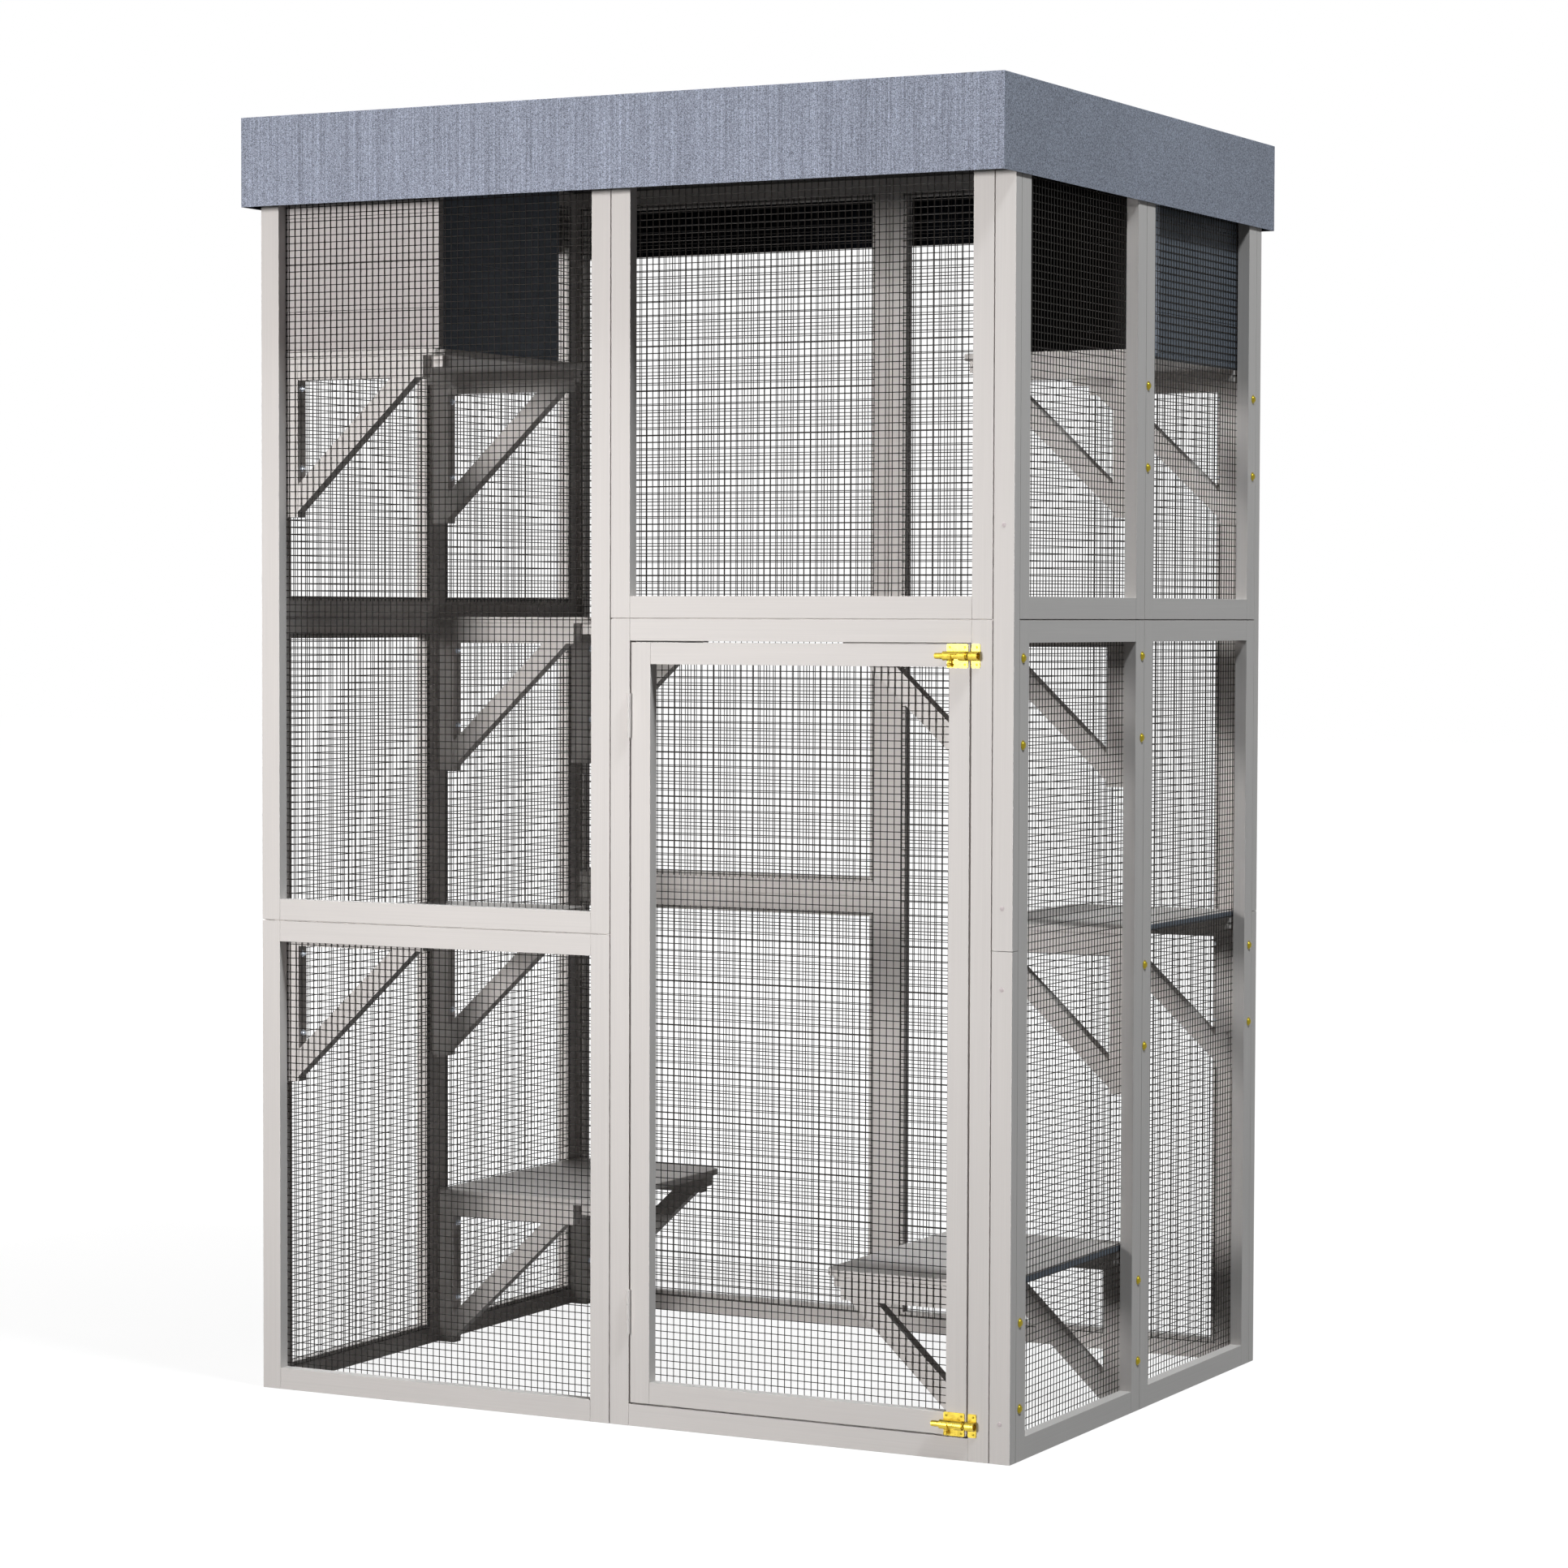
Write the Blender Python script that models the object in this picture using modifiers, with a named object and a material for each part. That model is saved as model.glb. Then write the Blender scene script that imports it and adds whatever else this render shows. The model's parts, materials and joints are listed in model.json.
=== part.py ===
"""Outdoor cat enclosure: painted timber frames with wire netting, a hinged door and eight platforms.

Metres, +Z up. The front, with the door, faces -Y. The origin is on the ground, under the centre.
"""
import math

import bmesh
import bpy
from mathutils import Matrix, Vector

# Timber frames. The joints between the lower and upper frames are shares of the frames' height.
lumber_width = 0.030
lumber_thickness = 0.018
column_width = 0.570
enclosure_depth = 0.876
frame_height = 1.775
left_joint_share = 0.37746
right_joint_share = 0.61972
joint_reveal = 0.0003
tenon_length = 0.002
groove_width = 0.0008
groove_depth = 0.0008

# Clearance between pieces that touch, how far a cutter runs past what it cuts, and where points are merged
seam = 0.0003
cut_overrun = 0.002
merge_distance = 0.00003

# Roof
roof_rise = 0.025
valance_height = 0.125
roof_side_overhang = 0.003
roof_end_overhang = 0.0445
cover_edge_radius = 0.004
deck_edge_radius = 0.003

# Netting: the welded mesh has a 10 mm pitch, and every eleventh wire is drawn
mesh_pitch = 0.010
wires_per_drawn_wire = 11
wire_thickness = 0.0012
net_overlap = 0.007

# Door
door_gap = 0.0018

# Hinges
hinge_length = 0.0605
upper_hinge_drop = 0.0695
lower_hinge_rise = 0.0945
hinge_knuckle_radius = 0.003
hinge_pin_radius = 0.00125
hinge_pin_clearance = 0.00025
hinge_leaf_thickness = 0.0005
hinge_leaf_depth = 0.0155

# Barrel bolts
bolt_plate_width = 0.030
bolt_plate_height = 0.031
bolt_plate_thickness = 0.0012
bolt_plate_edge_margin = 0.003
bolt_plate_radius = 0.0015
bolt_housing_radius = 0.0062
bolt_housing_overhang = 0.0025
bolt_housing_sink = 0.0006
bolt_rod_radius = 0.0040
bolt_rod_clearance = 0.00025
bolt_rod_chamfer = 0.0008
bolt_travel = 0.0125
bolt_tip_reach = 0.0113
bolt_saddle_length = 0.0098
bolt_notch_length = 0.0104
knob_stem_radius = 0.0018
knob_stem_clearance = 0.0004
knob_radius = 0.0030
knob_drop = 0.0116
keeper_width = 0.012
keeper_bore_clearance = 0.0005

# Platforms: the underside of each board as a share of the frames' height, from the top one down
top_level_share = 0.8254
high_level_share = 0.6152
middle_level_share = 0.3735
low_level_share = 0.1265
front_half_levels = ("top", "middle")
board_depth = 0.265
board_thickness = 0.009
board_wall_gap = 0.002
board_corner_radius = 0.025
cleat_width = 0.016
cleat_height = 0.017
cleat_setback = 0.008

# Brackets
bracket_thickness = 0.020
bracket_height = 0.2235
bracket_reach = 0.239
bracket_inset = 0.002
bracket_centre_overlap = 0.002
brace_width = 0.028
brace_reveal = 0.0006
brace_tip_margin = 0.013
brace_foot_rise = 0.008

# Nest boxes on the two top platforms
nest_length = 0.325
nest_headroom = 0.0306
nest_wall = 0.010
nest_course_height = 0.0657

# Counts of facets
round_sides = 16
knuckle_sides = 12
board_corner_steps = 5
plate_corner_steps = 2
cover_corner_steps = 2
round_profile = 0.5

# Sizes that follow from the ones above
half_width = column_width + lumber_width / 2
half_depth = enclosure_depth / 2
wall_face = half_width - lumber_thickness
column_line = column_width - half_width
left_joint_height = left_joint_share * frame_height
right_joint_height = right_joint_share * frame_height
post_line = column_line + column_width
roof_top = frame_height + roof_rise
cover_thickness = roof_side_overhang - seam
valance_bottom = roof_top - valance_height
door_hinge_x = column_line + lumber_width + seam + hinge_leaf_thickness + seam / 2
door_hinge_y = -half_depth - hinge_knuckle_radius - seam
door_left = column_line + lumber_width + door_gap
door_right = post_line - lumber_width - door_gap
door_bottom = lumber_width + door_gap
door_top = right_joint_height - lumber_width - door_gap
board_length = half_depth - lumber_thickness - bracket_inset + bracket_centre_overlap
board_centre_y = bracket_centre_overlap - board_length / 2
board_free_edge = board_wall_gap + board_depth
platform_levels = {
    "top": top_level_share * frame_height,
    "high": high_level_share * frame_height,
    "middle": middle_level_share * frame_height,
    "low": low_level_share * frame_height,
}
nest_seat = platform_levels["top"] + board_thickness + seam
nest_height = frame_height - nest_headroom - nest_seat

parts_collection = None
materials = {}


def clear_scene():
    for item in list(bpy.data.objects):
        bpy.data.objects.remove(item, do_unlink=True)


def make_material(name, colour, roughness, metallic):
    material = bpy.data.materials.new(name)
    material.use_nodes = True
    shader = material.node_tree.nodes["Principled BSDF"]
    shader.inputs["Base Color"].default_value = (*colour, 1.0)
    shader.inputs["Roughness"].default_value = roughness
    shader.inputs["Metallic"].default_value = metallic
    materials[name] = material


def make_materials():
    make_material("paint", (0.680, 0.650, 0.630), 0.55, 0.0)
    make_material("black_wire", (0.012, 0.012, 0.013), 0.50, 0.6)
    make_material("roof_cloth", (0.290, 0.330, 0.420), 0.85, 0.0)
    make_material("deck_board", (0.330, 0.290, 0.240), 0.80, 0.0)
    make_material("brass", (0.750, 0.560, 0.130), 0.30, 1.0)


def new_object(name, mesh):
    """A new object for a mesh, in the collection of the parts."""
    item = bpy.data.objects.new(name, mesh)
    parts_collection.objects.link(item)
    return item


def new_box(low, high):
    """A closed box between two corners."""
    low = Vector(low)
    high = Vector(high)
    size = high - low
    place = Matrix.Translation((low + high) / 2) @ Matrix.Diagonal((*size, 1.0))
    shape = bmesh.new()
    bmesh.ops.create_cube(shape, size=1.0, matrix=place)
    mesh = bpy.data.meshes.new("box")
    shape.to_mesh(mesh)
    shape.free()
    return new_object("box", mesh)


def new_rod(start, end, radius, sides):
    """A closed cylinder from one point to another."""
    start = Vector(start)
    end = Vector(end)
    turn = (end - start).to_track_quat("Z", "Y").to_matrix().to_4x4()
    shape = bmesh.new()
    bmesh.ops.create_cone(
        shape,
        cap_ends=True,
        segments=sides,
        radius1=radius,
        radius2=radius,
        depth=(end - start).length,
        matrix=Matrix.Translation((start + end) / 2) @ turn,
    )
    mesh = bpy.data.meshes.new("rod")
    shape.to_mesh(mesh)
    shape.free()
    return new_object("rod", mesh)


def new_ball(centre, radius):
    shape = bmesh.new()
    bmesh.ops.create_uvsphere(
        shape,
        u_segments=knuckle_sides,
        v_segments=knuckle_sides // 2,
        radius=radius,
        matrix=Matrix.Translation(centre),
    )
    mesh = bpy.data.meshes.new("ball")
    shape.to_mesh(mesh)
    shape.free()
    return new_object("ball", mesh)


def new_slab(outline, thickness):
    """A flat outline in X and Z, given its thickness along Y, centred on Y zero."""
    curve = bpy.data.curves.new("outline", "CURVE")
    curve.dimensions = "2D"
    curve.fill_mode = "BOTH"
    curve.extrude = thickness / 2
    spline = curve.splines.new("POLY")
    spline.points.add(len(outline) - 1)
    for point, (x, z) in zip(spline.points, outline):
        point.co = (x, z, 0, 1)
    spline.use_cyclic_u = True
    slab = new_object("slab", curve)
    slab.rotation_euler.x = math.radians(90)
    return solid_from(slab)


def solid_from(item):
    """The object's evaluated shape as a new welded mesh object, in place of the old one."""
    bpy.context.view_layer.update()
    graph = bpy.context.evaluated_depsgraph_get()
    mesh = bpy.data.meshes.new_from_object(item.evaluated_get(graph))
    mesh.transform(item.matrix_world)
    shape = bmesh.new()
    shape.from_mesh(mesh)
    bmesh.ops.remove_doubles(shape, verts=shape.verts, dist=merge_distance)
    shape.to_mesh(mesh)
    shape.free()
    name = item.name
    bpy.data.objects.remove(item, do_unlink=True)
    return new_object(name, mesh)


def combine(base, others, operation):
    """Join the others to the base, or cut them from it, and leave one mesh object."""
    for number, other in enumerate(others):
        step = base.modifiers.new(f"{operation.lower()}_{number}", "BOOLEAN")
        step.operation = operation
        step.object = other
    result = solid_from(base)
    for other in others:
        bpy.data.objects.remove(other, do_unlink=True)
    return result


def fuse(pieces):
    return combine(pieces[0], pieces[1:], "UNION")


def cut(base, cutters):
    return combine(base, cutters, "DIFFERENCE")


def smooth_rounds(mesh):
    mesh.shade_smooth()
    mesh.set_sharp_from_angle(angle=math.radians(35))


def name_part(item, name, finish, location=(0, 0, 0), turn=0.0):
    """Give a finished shape its name, finish and place."""
    item.name = name
    item.data.name = name
    item.data.materials.clear()
    item.data.materials.append(materials[finish])
    item.location = location
    item.rotation_euler.z = turn
    return item


def copy_part(source, name, location, turn):
    """Another copy of a piece, which shares its mesh."""
    item = new_object(name, source.data)
    item.location = location
    item.rotation_euler.z = turn
    return item


def timber_frame(name, width, height, bays):
    """Stiles at both ends, rails between them, and a double stile between two bays."""
    lefts = [0]
    rights = [lumber_width]
    if bays == 2:
        lefts.append(width / 2 - lumber_width)
        rights.append(width / 2 + lumber_width)
    lefts.append(width - lumber_width)
    rights.append(width)
    members = []
    for left, right in zip(lefts, rights):
        members.append(new_box((left, 0, 0), (right, lumber_thickness, height)))
    rail_front = joint_reveal
    rail_back = lumber_thickness - joint_reveal
    for start, end in zip(rights[:-1], lefts[1:]):
        rail_left = start - tenon_length
        rail_right = end + tenon_length
        low_rail = ((rail_left, rail_front, joint_reveal), (rail_right, rail_back, lumber_width))
        high_rail = (
            (rail_left, rail_front, height - lumber_width),
            (rail_right, rail_back, height - joint_reveal),
        )
        members.append(new_box(*low_rail))
        members.append(new_box(*high_rail))
    frame = fuse(members)
    if bays == 2:
        frame = cut(frame, seam_cutters(width / 2, height))
    return name_part(frame, name, "paint")


def seam_cutters(centre, height):
    """Thin cutters for the line between the two stiles of a double stile, on both faces."""
    left = centre - groove_width / 2
    right = centre + groove_width / 2
    bottom = -cut_overrun
    top = height + cut_overrun
    outer = new_box((left, -cut_overrun, bottom), (right, groove_depth, top))
    inner_face = lumber_thickness - groove_depth
    inner = new_box((left, inner_face, bottom), (right, lumber_thickness + cut_overrun, top))
    return [outer, inner]


def end_wall_frames(prefix, front_y, with_doorway):
    """The four frames of the front or back wall, and their place."""
    columns = {
        "left": (-half_width, column_line - seam / 2, left_joint_height),
        "right": (column_line + seam / 2, post_line - seam / 2, right_joint_height),
    }
    for side, (left, right, joint) in columns.items():
        lower_name = f"{prefix}_{side}_lower_frame"
        if with_doorway and side == "right":
            lower_name = "door_surround"
        lower = timber_frame(lower_name, right - left, joint - seam / 2, 1)
        lower.location = (left, front_y, 0)
        upper_bottom = joint + seam / 2
        upper = timber_frame(f"{prefix}_{side}_upper_frame", right - left, frame_height - upper_bottom, 1)
        upper.location = (left, front_y, upper_bottom)


def side_wall_frames(side, face_x):
    """The two rows of a side wall. Each row has two bays, and reaches from the front wall to the back."""
    start = -half_depth + lumber_thickness + seam
    length = -2 * start
    lower = timber_frame(f"{side}_lower_frame", length, right_joint_height - seam / 2, 2)
    lower.location = (face_x, start, 0)
    lower.rotation_euler.z = math.radians(90)
    upper_bottom = right_joint_height + seam / 2
    upper = timber_frame(f"{side}_upper_frame", length, frame_height - upper_bottom, 2)
    upper.location = (face_x, start, upper_bottom)
    upper.rotation_euler.z = math.radians(90)


def corner_posts():
    """The posts that close the right end of the front and back walls. The front one is in two lengths."""
    left = post_line + seam / 2
    front = -half_depth
    back = half_depth - lumber_thickness
    split_low = left_joint_height - seam / 2
    split_high = left_joint_height + seam / 2
    lower = new_box((left, front, 0), (half_width, front + lumber_thickness, split_low))
    name_part(lower, "front_post_lower", "paint")
    upper = new_box((left, front, split_high), (half_width, front + lumber_thickness, frame_height))
    name_part(upper, "front_post_upper", "paint")
    post = new_box((left, back, 0), (half_width, half_depth, frame_height))
    line_low = (left - cut_overrun, half_depth - groove_depth, left_joint_height - groove_width / 2)
    line_high = (half_width + cut_overrun, half_depth + cut_overrun, left_joint_height + groove_width / 2)
    line = new_box(line_low, line_high)
    name_part(cut(post, [line]), "back_post", "paint")


def roof():
    """A flat deck on the frames, and a cover with a straight valance that fits over it."""
    cover_x = half_width + roof_side_overhang
    cover_y = half_depth + roof_end_overhang
    cover = new_box((-cover_x, -cover_y, valance_bottom), (cover_x, cover_y, roof_top))
    shape = bmesh.new()
    shape.from_mesh(cover.data)
    underside = [face for face in shape.faces if face.normal.z < -0.5]
    bmesh.ops.delete(shape, geom=underside, context="FACES_ONLY")
    shape.to_mesh(cover.data)
    shape.free()
    rounding = cover.modifiers.new("rounded_edges", "BEVEL")
    rounding.width = cover_edge_radius
    rounding.segments = cover_corner_steps
    wall = cover.modifiers.new("wall", "SOLIDIFY")
    wall.thickness = cover_thickness
    wall.offset = -1
    wall.use_even_offset = True
    name_part(cover, "roof_cover", "roof_cloth")
    deck_x = cover_x - cover_thickness - seam
    deck_y = cover_y - cover_thickness - seam
    deck_top = roof_top - cover_thickness - seam
    deck = new_box((-deck_x, -deck_y, frame_height + seam), (deck_x, deck_y, deck_top))
    easing = deck.modifiers.new("eased_edges", "BEVEL")
    easing.width = deck_edge_radius
    easing.segments = 1
    name_part(deck, "roof_deck", "deck_board")


def netting(name, left, right, bottom, top, location, turn):
    """A flat sheet of crossing wires in local X and Z. It overlaps the frame round its opening."""
    drawn_pitch = mesh_pitch * wires_per_drawn_wire
    width = right - left + 2 * net_overlap
    height = top - bottom + 2 * net_overlap
    upright = Matrix.Rotation(math.radians(90), 4, "X")
    shape = bmesh.new()
    bmesh.ops.create_grid(
        shape,
        x_segments=max(1, round(width / drawn_pitch)),
        y_segments=max(1, round(height / drawn_pitch)),
        size=1.0,
        matrix=upright @ Matrix.Diagonal((width / 2, height / 2, 1.0, 1.0)),
    )
    mesh = bpy.data.meshes.new(name)
    shape.to_mesh(mesh)
    shape.free()
    net = new_object(name, mesh)
    wires = net.modifiers.new("wires", "WIREFRAME")
    wires.thickness = wire_thickness
    wires.use_boundary = True
    wires.use_replace = True
    centre = Vector(((left + right) / 2, 0, (bottom + top) / 2))
    place = Vector(location) + Matrix.Rotation(turn, 3, "Z") @ centre
    return name_part(net, name, "black_wire", place, turn)


def all_netting():
    """Netting on the inner faces of the frames: one sheet for each column of each wall, and the door's."""
    lift = lumber_thickness + seam + wire_thickness / 2
    front = (0, lift - half_depth, 0)
    back = (0, half_depth - lift, 0)
    low = lumber_width
    high = frame_height - lumber_width
    left_opening = (-half_width + lumber_width, column_line - lumber_width)
    right_opening = (column_line + lumber_width, post_line - lumber_width)
    netting("net_front_left", *left_opening, low, high, front, 0)
    netting("net_front_right", *right_opening, right_joint_height + lumber_width, high, front, 0)
    netting("net_back", left_opening[0], right_opening[1], low, high, back, 0)
    bay_start = -half_depth + lumber_thickness + seam + lumber_width
    bays = {"front": (bay_start, -lumber_width), "back": (lumber_width, -bay_start)}
    quarter_turn = math.radians(90)
    for side, side_x in (("left", lift - half_width), ("right", half_width - lift)):
        for half, (start, end) in bays.items():
            netting(f"net_{side}_{half}", start, end, low, high, (side_x, 0, 0), quarter_turn)


def hinge_spans(bottom):
    """The heights of the three knuckles of a hinge, with a running gap between them."""
    third = hinge_length / 3
    spans = []
    for number in range(3):
        spans.append((bottom + number * third + seam / 2, bottom + (number + 1) * third - seam / 2))
    return spans


def knuckle(span, radius):
    low = (door_hinge_x, door_hinge_y, span[0])
    high = (door_hinge_x, door_hinge_y, span[1])
    return new_rod(low, high, radius, knuckle_sides)


def leaf_plate(left, right, bottom, spans):
    """A hinge leaf in the gap beside the door, with a tab to each of its knuckles."""
    back = hinge_leaf_depth - half_depth
    plate = new_box((left, -half_depth, bottom), (right, back, bottom + hinge_length))
    tabs = []
    for low, high in spans:
        tabs.append(new_box((left, door_hinge_y, low), (right, -half_depth + seam, high)))
    return [plate] + tabs


def fixed_hinge_leaf(name, bottom):
    """The leaf on the surround, with the outer knuckles and the pin."""
    spans = hinge_spans(bottom)
    left = column_line + lumber_width + seam
    pieces = leaf_plate(left, left + hinge_leaf_thickness, bottom, (spans[0], spans[2]))
    pieces.append(knuckle(spans[0], hinge_knuckle_radius))
    pieces.append(knuckle(spans[2], hinge_knuckle_radius))
    pieces.append(knuckle((spans[0][0] + seam, spans[2][1] - seam), hinge_pin_radius))
    leaf = fuse(pieces)
    smooth_rounds(leaf.data)
    name_part(leaf, name, "paint")


def moving_hinge_leaf(bottom):
    """The leaf on the door's edge, with the middle knuckle bored for the pin."""
    spans = hinge_spans(bottom)
    left = door_hinge_x + seam / 2
    pieces = leaf_plate(left, door_left + seam, bottom, (spans[1],))
    pieces.append(knuckle(spans[1], hinge_knuckle_radius))
    leaf = fuse(pieces)
    bore_span = (spans[1][0] - cut_overrun, spans[1][1] + cut_overrun)
    return cut(leaf, [knuckle(bore_span, hinge_pin_radius + hinge_pin_clearance)])


def hinge_bottoms():
    return {"upper": door_top - upper_hinge_drop - hinge_length, "lower": door_bottom + lower_hinge_rise}


def door():
    """The door frame with its hinge leaves and netting, hung on an empty on the hinge's line."""
    axis = bpy.data.objects.new("door_hinge_axis", None)
    parts_collection.objects.link(axis)
    axis.location = (door_hinge_x, door_hinge_y, 0)
    frame = timber_frame("door_frame", door_right - door_left, door_top - door_bottom, 1)
    frame.location = (door_left, -half_depth, door_bottom)
    leaves = []
    for bottom in hinge_bottoms().values():
        leaves.append(moving_hinge_leaf(bottom))
    frame = fuse([frame] + leaves)
    name_part(frame, "door_frame", "paint")
    lift = lumber_thickness + seam + wire_thickness / 2 - half_depth
    opening_x = (door_left + lumber_width, door_right - lumber_width)
    opening_z = (door_bottom + lumber_width, door_top - lumber_width)
    net = netting("net_door", *opening_x, *opening_z, (0, lift, 0), 0)
    hang_on(axis, frame)
    hang_on(axis, net)
    return axis


def hang_on(parent, item):
    """Parent a piece to an empty and keep its place."""
    item.parent = parent
    item.location = Vector(item.location) - world_location(parent)


def world_location(item):
    place = Vector(item.location)
    while item.parent:
        item = item.parent
        place += Vector(item.location)
    return place


def bolt_plate(left, right, low, high):
    """A thin mounting plate on the front face, with rounded corners."""
    back = -half_depth - seam
    plate = new_box((left, back - bolt_plate_thickness, low), (right, back, high))
    shape = bmesh.new()
    shape.from_mesh(plate.data)
    corners = [edge for edge in shape.edges if abs((edge.verts[0].co - edge.verts[1].co).y) > seam]
    bmesh.ops.bevel(
        shape,
        geom=corners,
        offset=bolt_plate_radius,
        segments=plate_corner_steps,
        affect="EDGES",
        profile=round_profile,
    )
    shape.to_mesh(plate.data)
    shape.free()
    return plate


def barrel_bolt(prefix, axis_z, door_axis):
    """A barrel bolt on the door's free stile: slotted housing, sliding rod with its knob, and keeper."""
    plate_right = door_right - bolt_plate_edge_margin
    plate_left = plate_right - bolt_plate_width
    low = axis_z - bolt_plate_height / 2
    high = axis_z + bolt_plate_height / 2
    plate_face = -half_depth - seam - bolt_plate_thickness
    axis_y = plate_face - bolt_housing_radius + bolt_housing_sink
    housing_left = plate_left - bolt_housing_overhang
    bore_radius = bolt_rod_radius + bolt_rod_clearance
    housing_start = (housing_left, axis_y, axis_z)
    housing_end = (plate_right, axis_y, axis_z)
    housing = new_rod(housing_start, housing_end, bolt_housing_radius, round_sides)
    body = fuse([bolt_plate(plate_left, plate_right, low, high), housing])
    bore_left = housing_left - cut_overrun
    bore_right = plate_right + cut_overrun
    bore = new_rod((bore_left, axis_y, axis_z), (bore_right, axis_y, axis_z), bore_radius, round_sides)
    notch_right = plate_right - bolt_saddle_length
    notch_left = notch_right - bolt_notch_length
    stem_space = knob_stem_radius + knob_stem_clearance
    knob_shot_x = notch_right - stem_space
    knob_x = knob_shot_x - bolt_travel
    under = axis_z - bolt_housing_radius - cut_overrun
    slot_front = axis_y - stem_space
    slot_back = axis_y + stem_space
    slot = new_box((knob_x - stem_space, slot_front, under), (notch_right, slot_back, axis_z))
    notch_front = axis_y - bolt_housing_radius - cut_overrun
    notch_top = axis_z + stem_space
    notch = new_box((notch_left, notch_front, under), (notch_right, slot_back, notch_top))
    body = cut(body, [bore, slot, notch])
    smooth_rounds(body.data)
    name_part(body, f"{prefix}_bolt_body", "brass")
    hang_on(door_axis, body)
    sliding_rod(prefix, housing_left, door_right + bolt_tip_reach, knob_x, axis_y, axis_z, door_axis)
    keeper(prefix, axis_y, axis_z, low, high)


def sliding_rod(prefix, tail_x, tip_x, knob_x, axis_y, axis_z, door_axis):
    """The rod, drawn back by its travel. Its empty sits on the rod's own line."""
    tail = tail_x - bolt_travel
    tip = tip_x - bolt_travel
    rod = new_rod((tail, axis_y, axis_z), (tip, axis_y, axis_z), bolt_rod_radius, round_sides)
    shape = bmesh.new()
    shape.from_mesh(rod.data)
    rims = [edge for edge in shape.edges if abs((edge.verts[0].co - edge.verts[1].co).x) < seam]
    bmesh.ops.bevel(shape, geom=rims, offset=bolt_rod_chamfer, segments=1, affect="EDGES")
    shape.to_mesh(rod.data)
    shape.free()
    knob_centre = (knob_x, axis_y, axis_z - knob_drop)
    stem = new_rod((knob_x, axis_y, axis_z), knob_centre, knob_stem_radius, knuckle_sides)
    rod = fuse([rod, stem, new_ball(knob_centre, knob_radius)])
    smooth_rounds(rod.data)
    name_part(rod, f"{prefix}_bolt_slide", "brass")
    slide_axis = bpy.data.objects.new(f"{prefix}_bolt_axis", None)
    parts_collection.objects.link(slide_axis)
    slide_axis.location = Vector((tail, axis_y, axis_z))
    hang_on(door_axis, slide_axis)
    hang_on(slide_axis, rod)


def keeper(prefix, axis_y, axis_z, low, high):
    """The keeper on the surround: a small plate with a raised loop that takes the rod."""
    left = post_line - lumber_width + seam
    right = left + keeper_width
    loop = new_rod((left, axis_y, axis_z), (right, axis_y, axis_z), bolt_housing_radius, round_sides)
    bore_radius = bolt_rod_radius + keeper_bore_clearance
    bore_left = left - cut_overrun
    bore_right = right + cut_overrun
    bore = new_rod((bore_left, axis_y, axis_z), (bore_right, axis_y, axis_z), bore_radius, round_sides)
    piece = cut(fuse([bolt_plate(left, right, low, high), loop]), [bore])
    smooth_rounds(piece.data)
    name_part(piece, f"{prefix}_keeper", "brass")


def bracket_shape():
    """Leg on the wall, arm under the board, and a brace between them.

    The wall is at X zero, the top at Z zero, and the middle at Y zero.
    """
    half = bracket_thickness / 2
    leg = new_box((0, -half, -bracket_height), (lumber_width, half, 0))
    arm_half = half - joint_reveal
    arm_bottom = -lumber_width
    arm_start = lumber_width - tenon_length
    arm = new_box((arm_start, -arm_half, arm_bottom), (bracket_reach, arm_half, -joint_reveal))
    foot = Vector((lumber_width, brace_foot_rise - bracket_height))
    tip = Vector((bracket_reach - brace_tip_margin, arm_bottom))
    along = (tip - foot).normalized()
    across = Vector((-along.y, along.x)) * brace_width
    sink = along * (tenon_length + brace_width)
    outline = [foot - sink, tip + sink, tip + sink + across, foot - sink + across]
    brace = new_slab(outline, bracket_thickness - 2 * brace_reveal)
    far_corner = (2 * bracket_reach, half, bracket_height)
    above = new_box((-bracket_reach, -half, tenon_length - lumber_width), far_corner)
    behind = new_box((-bracket_reach, -half, -2 * bracket_height), (arm_start, half, bracket_height))
    brace = cut(brace, [above, behind])
    return fuse([leg, arm, brace])


def board_shape():
    """A board with two rounded corners on the aisle side and a cleat inside each bracket.

    The wall's face is at X zero, the underside at Z zero, and the middle of the board at Y zero.
    """
    half = board_length / 2
    board = new_box((board_wall_gap, -half, 0), (board_free_edge, half, board_thickness))
    shape = bmesh.new()
    shape.from_mesh(board.data)
    corners = []
    for edge in shape.edges:
        start, end = edge.verts[0].co, edge.verts[1].co
        upright = abs(start.z - end.z) > seam
        if upright and start.x > board_free_edge - seam:
            corners.append(edge)
    bmesh.ops.bevel(
        shape,
        geom=corners,
        offset=board_corner_radius,
        segments=board_corner_steps,
        affect="EDGES",
        profile=round_profile,
    )
    shape.to_mesh(board.data)
    shape.free()
    pieces = [board]
    cleat_end = board_free_edge - cleat_setback
    cleat_outer = half - bracket_thickness - seam
    for side in (-1, 1):
        rows = sorted((side * cleat_outer, side * (cleat_outer - cleat_width)))
        low = (board_wall_gap + joint_reveal, rows[0], -cleat_height)
        pieces.append(new_box(low, (cleat_end, rows[1], joint_reveal)))
    return fuse(pieces)


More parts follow.
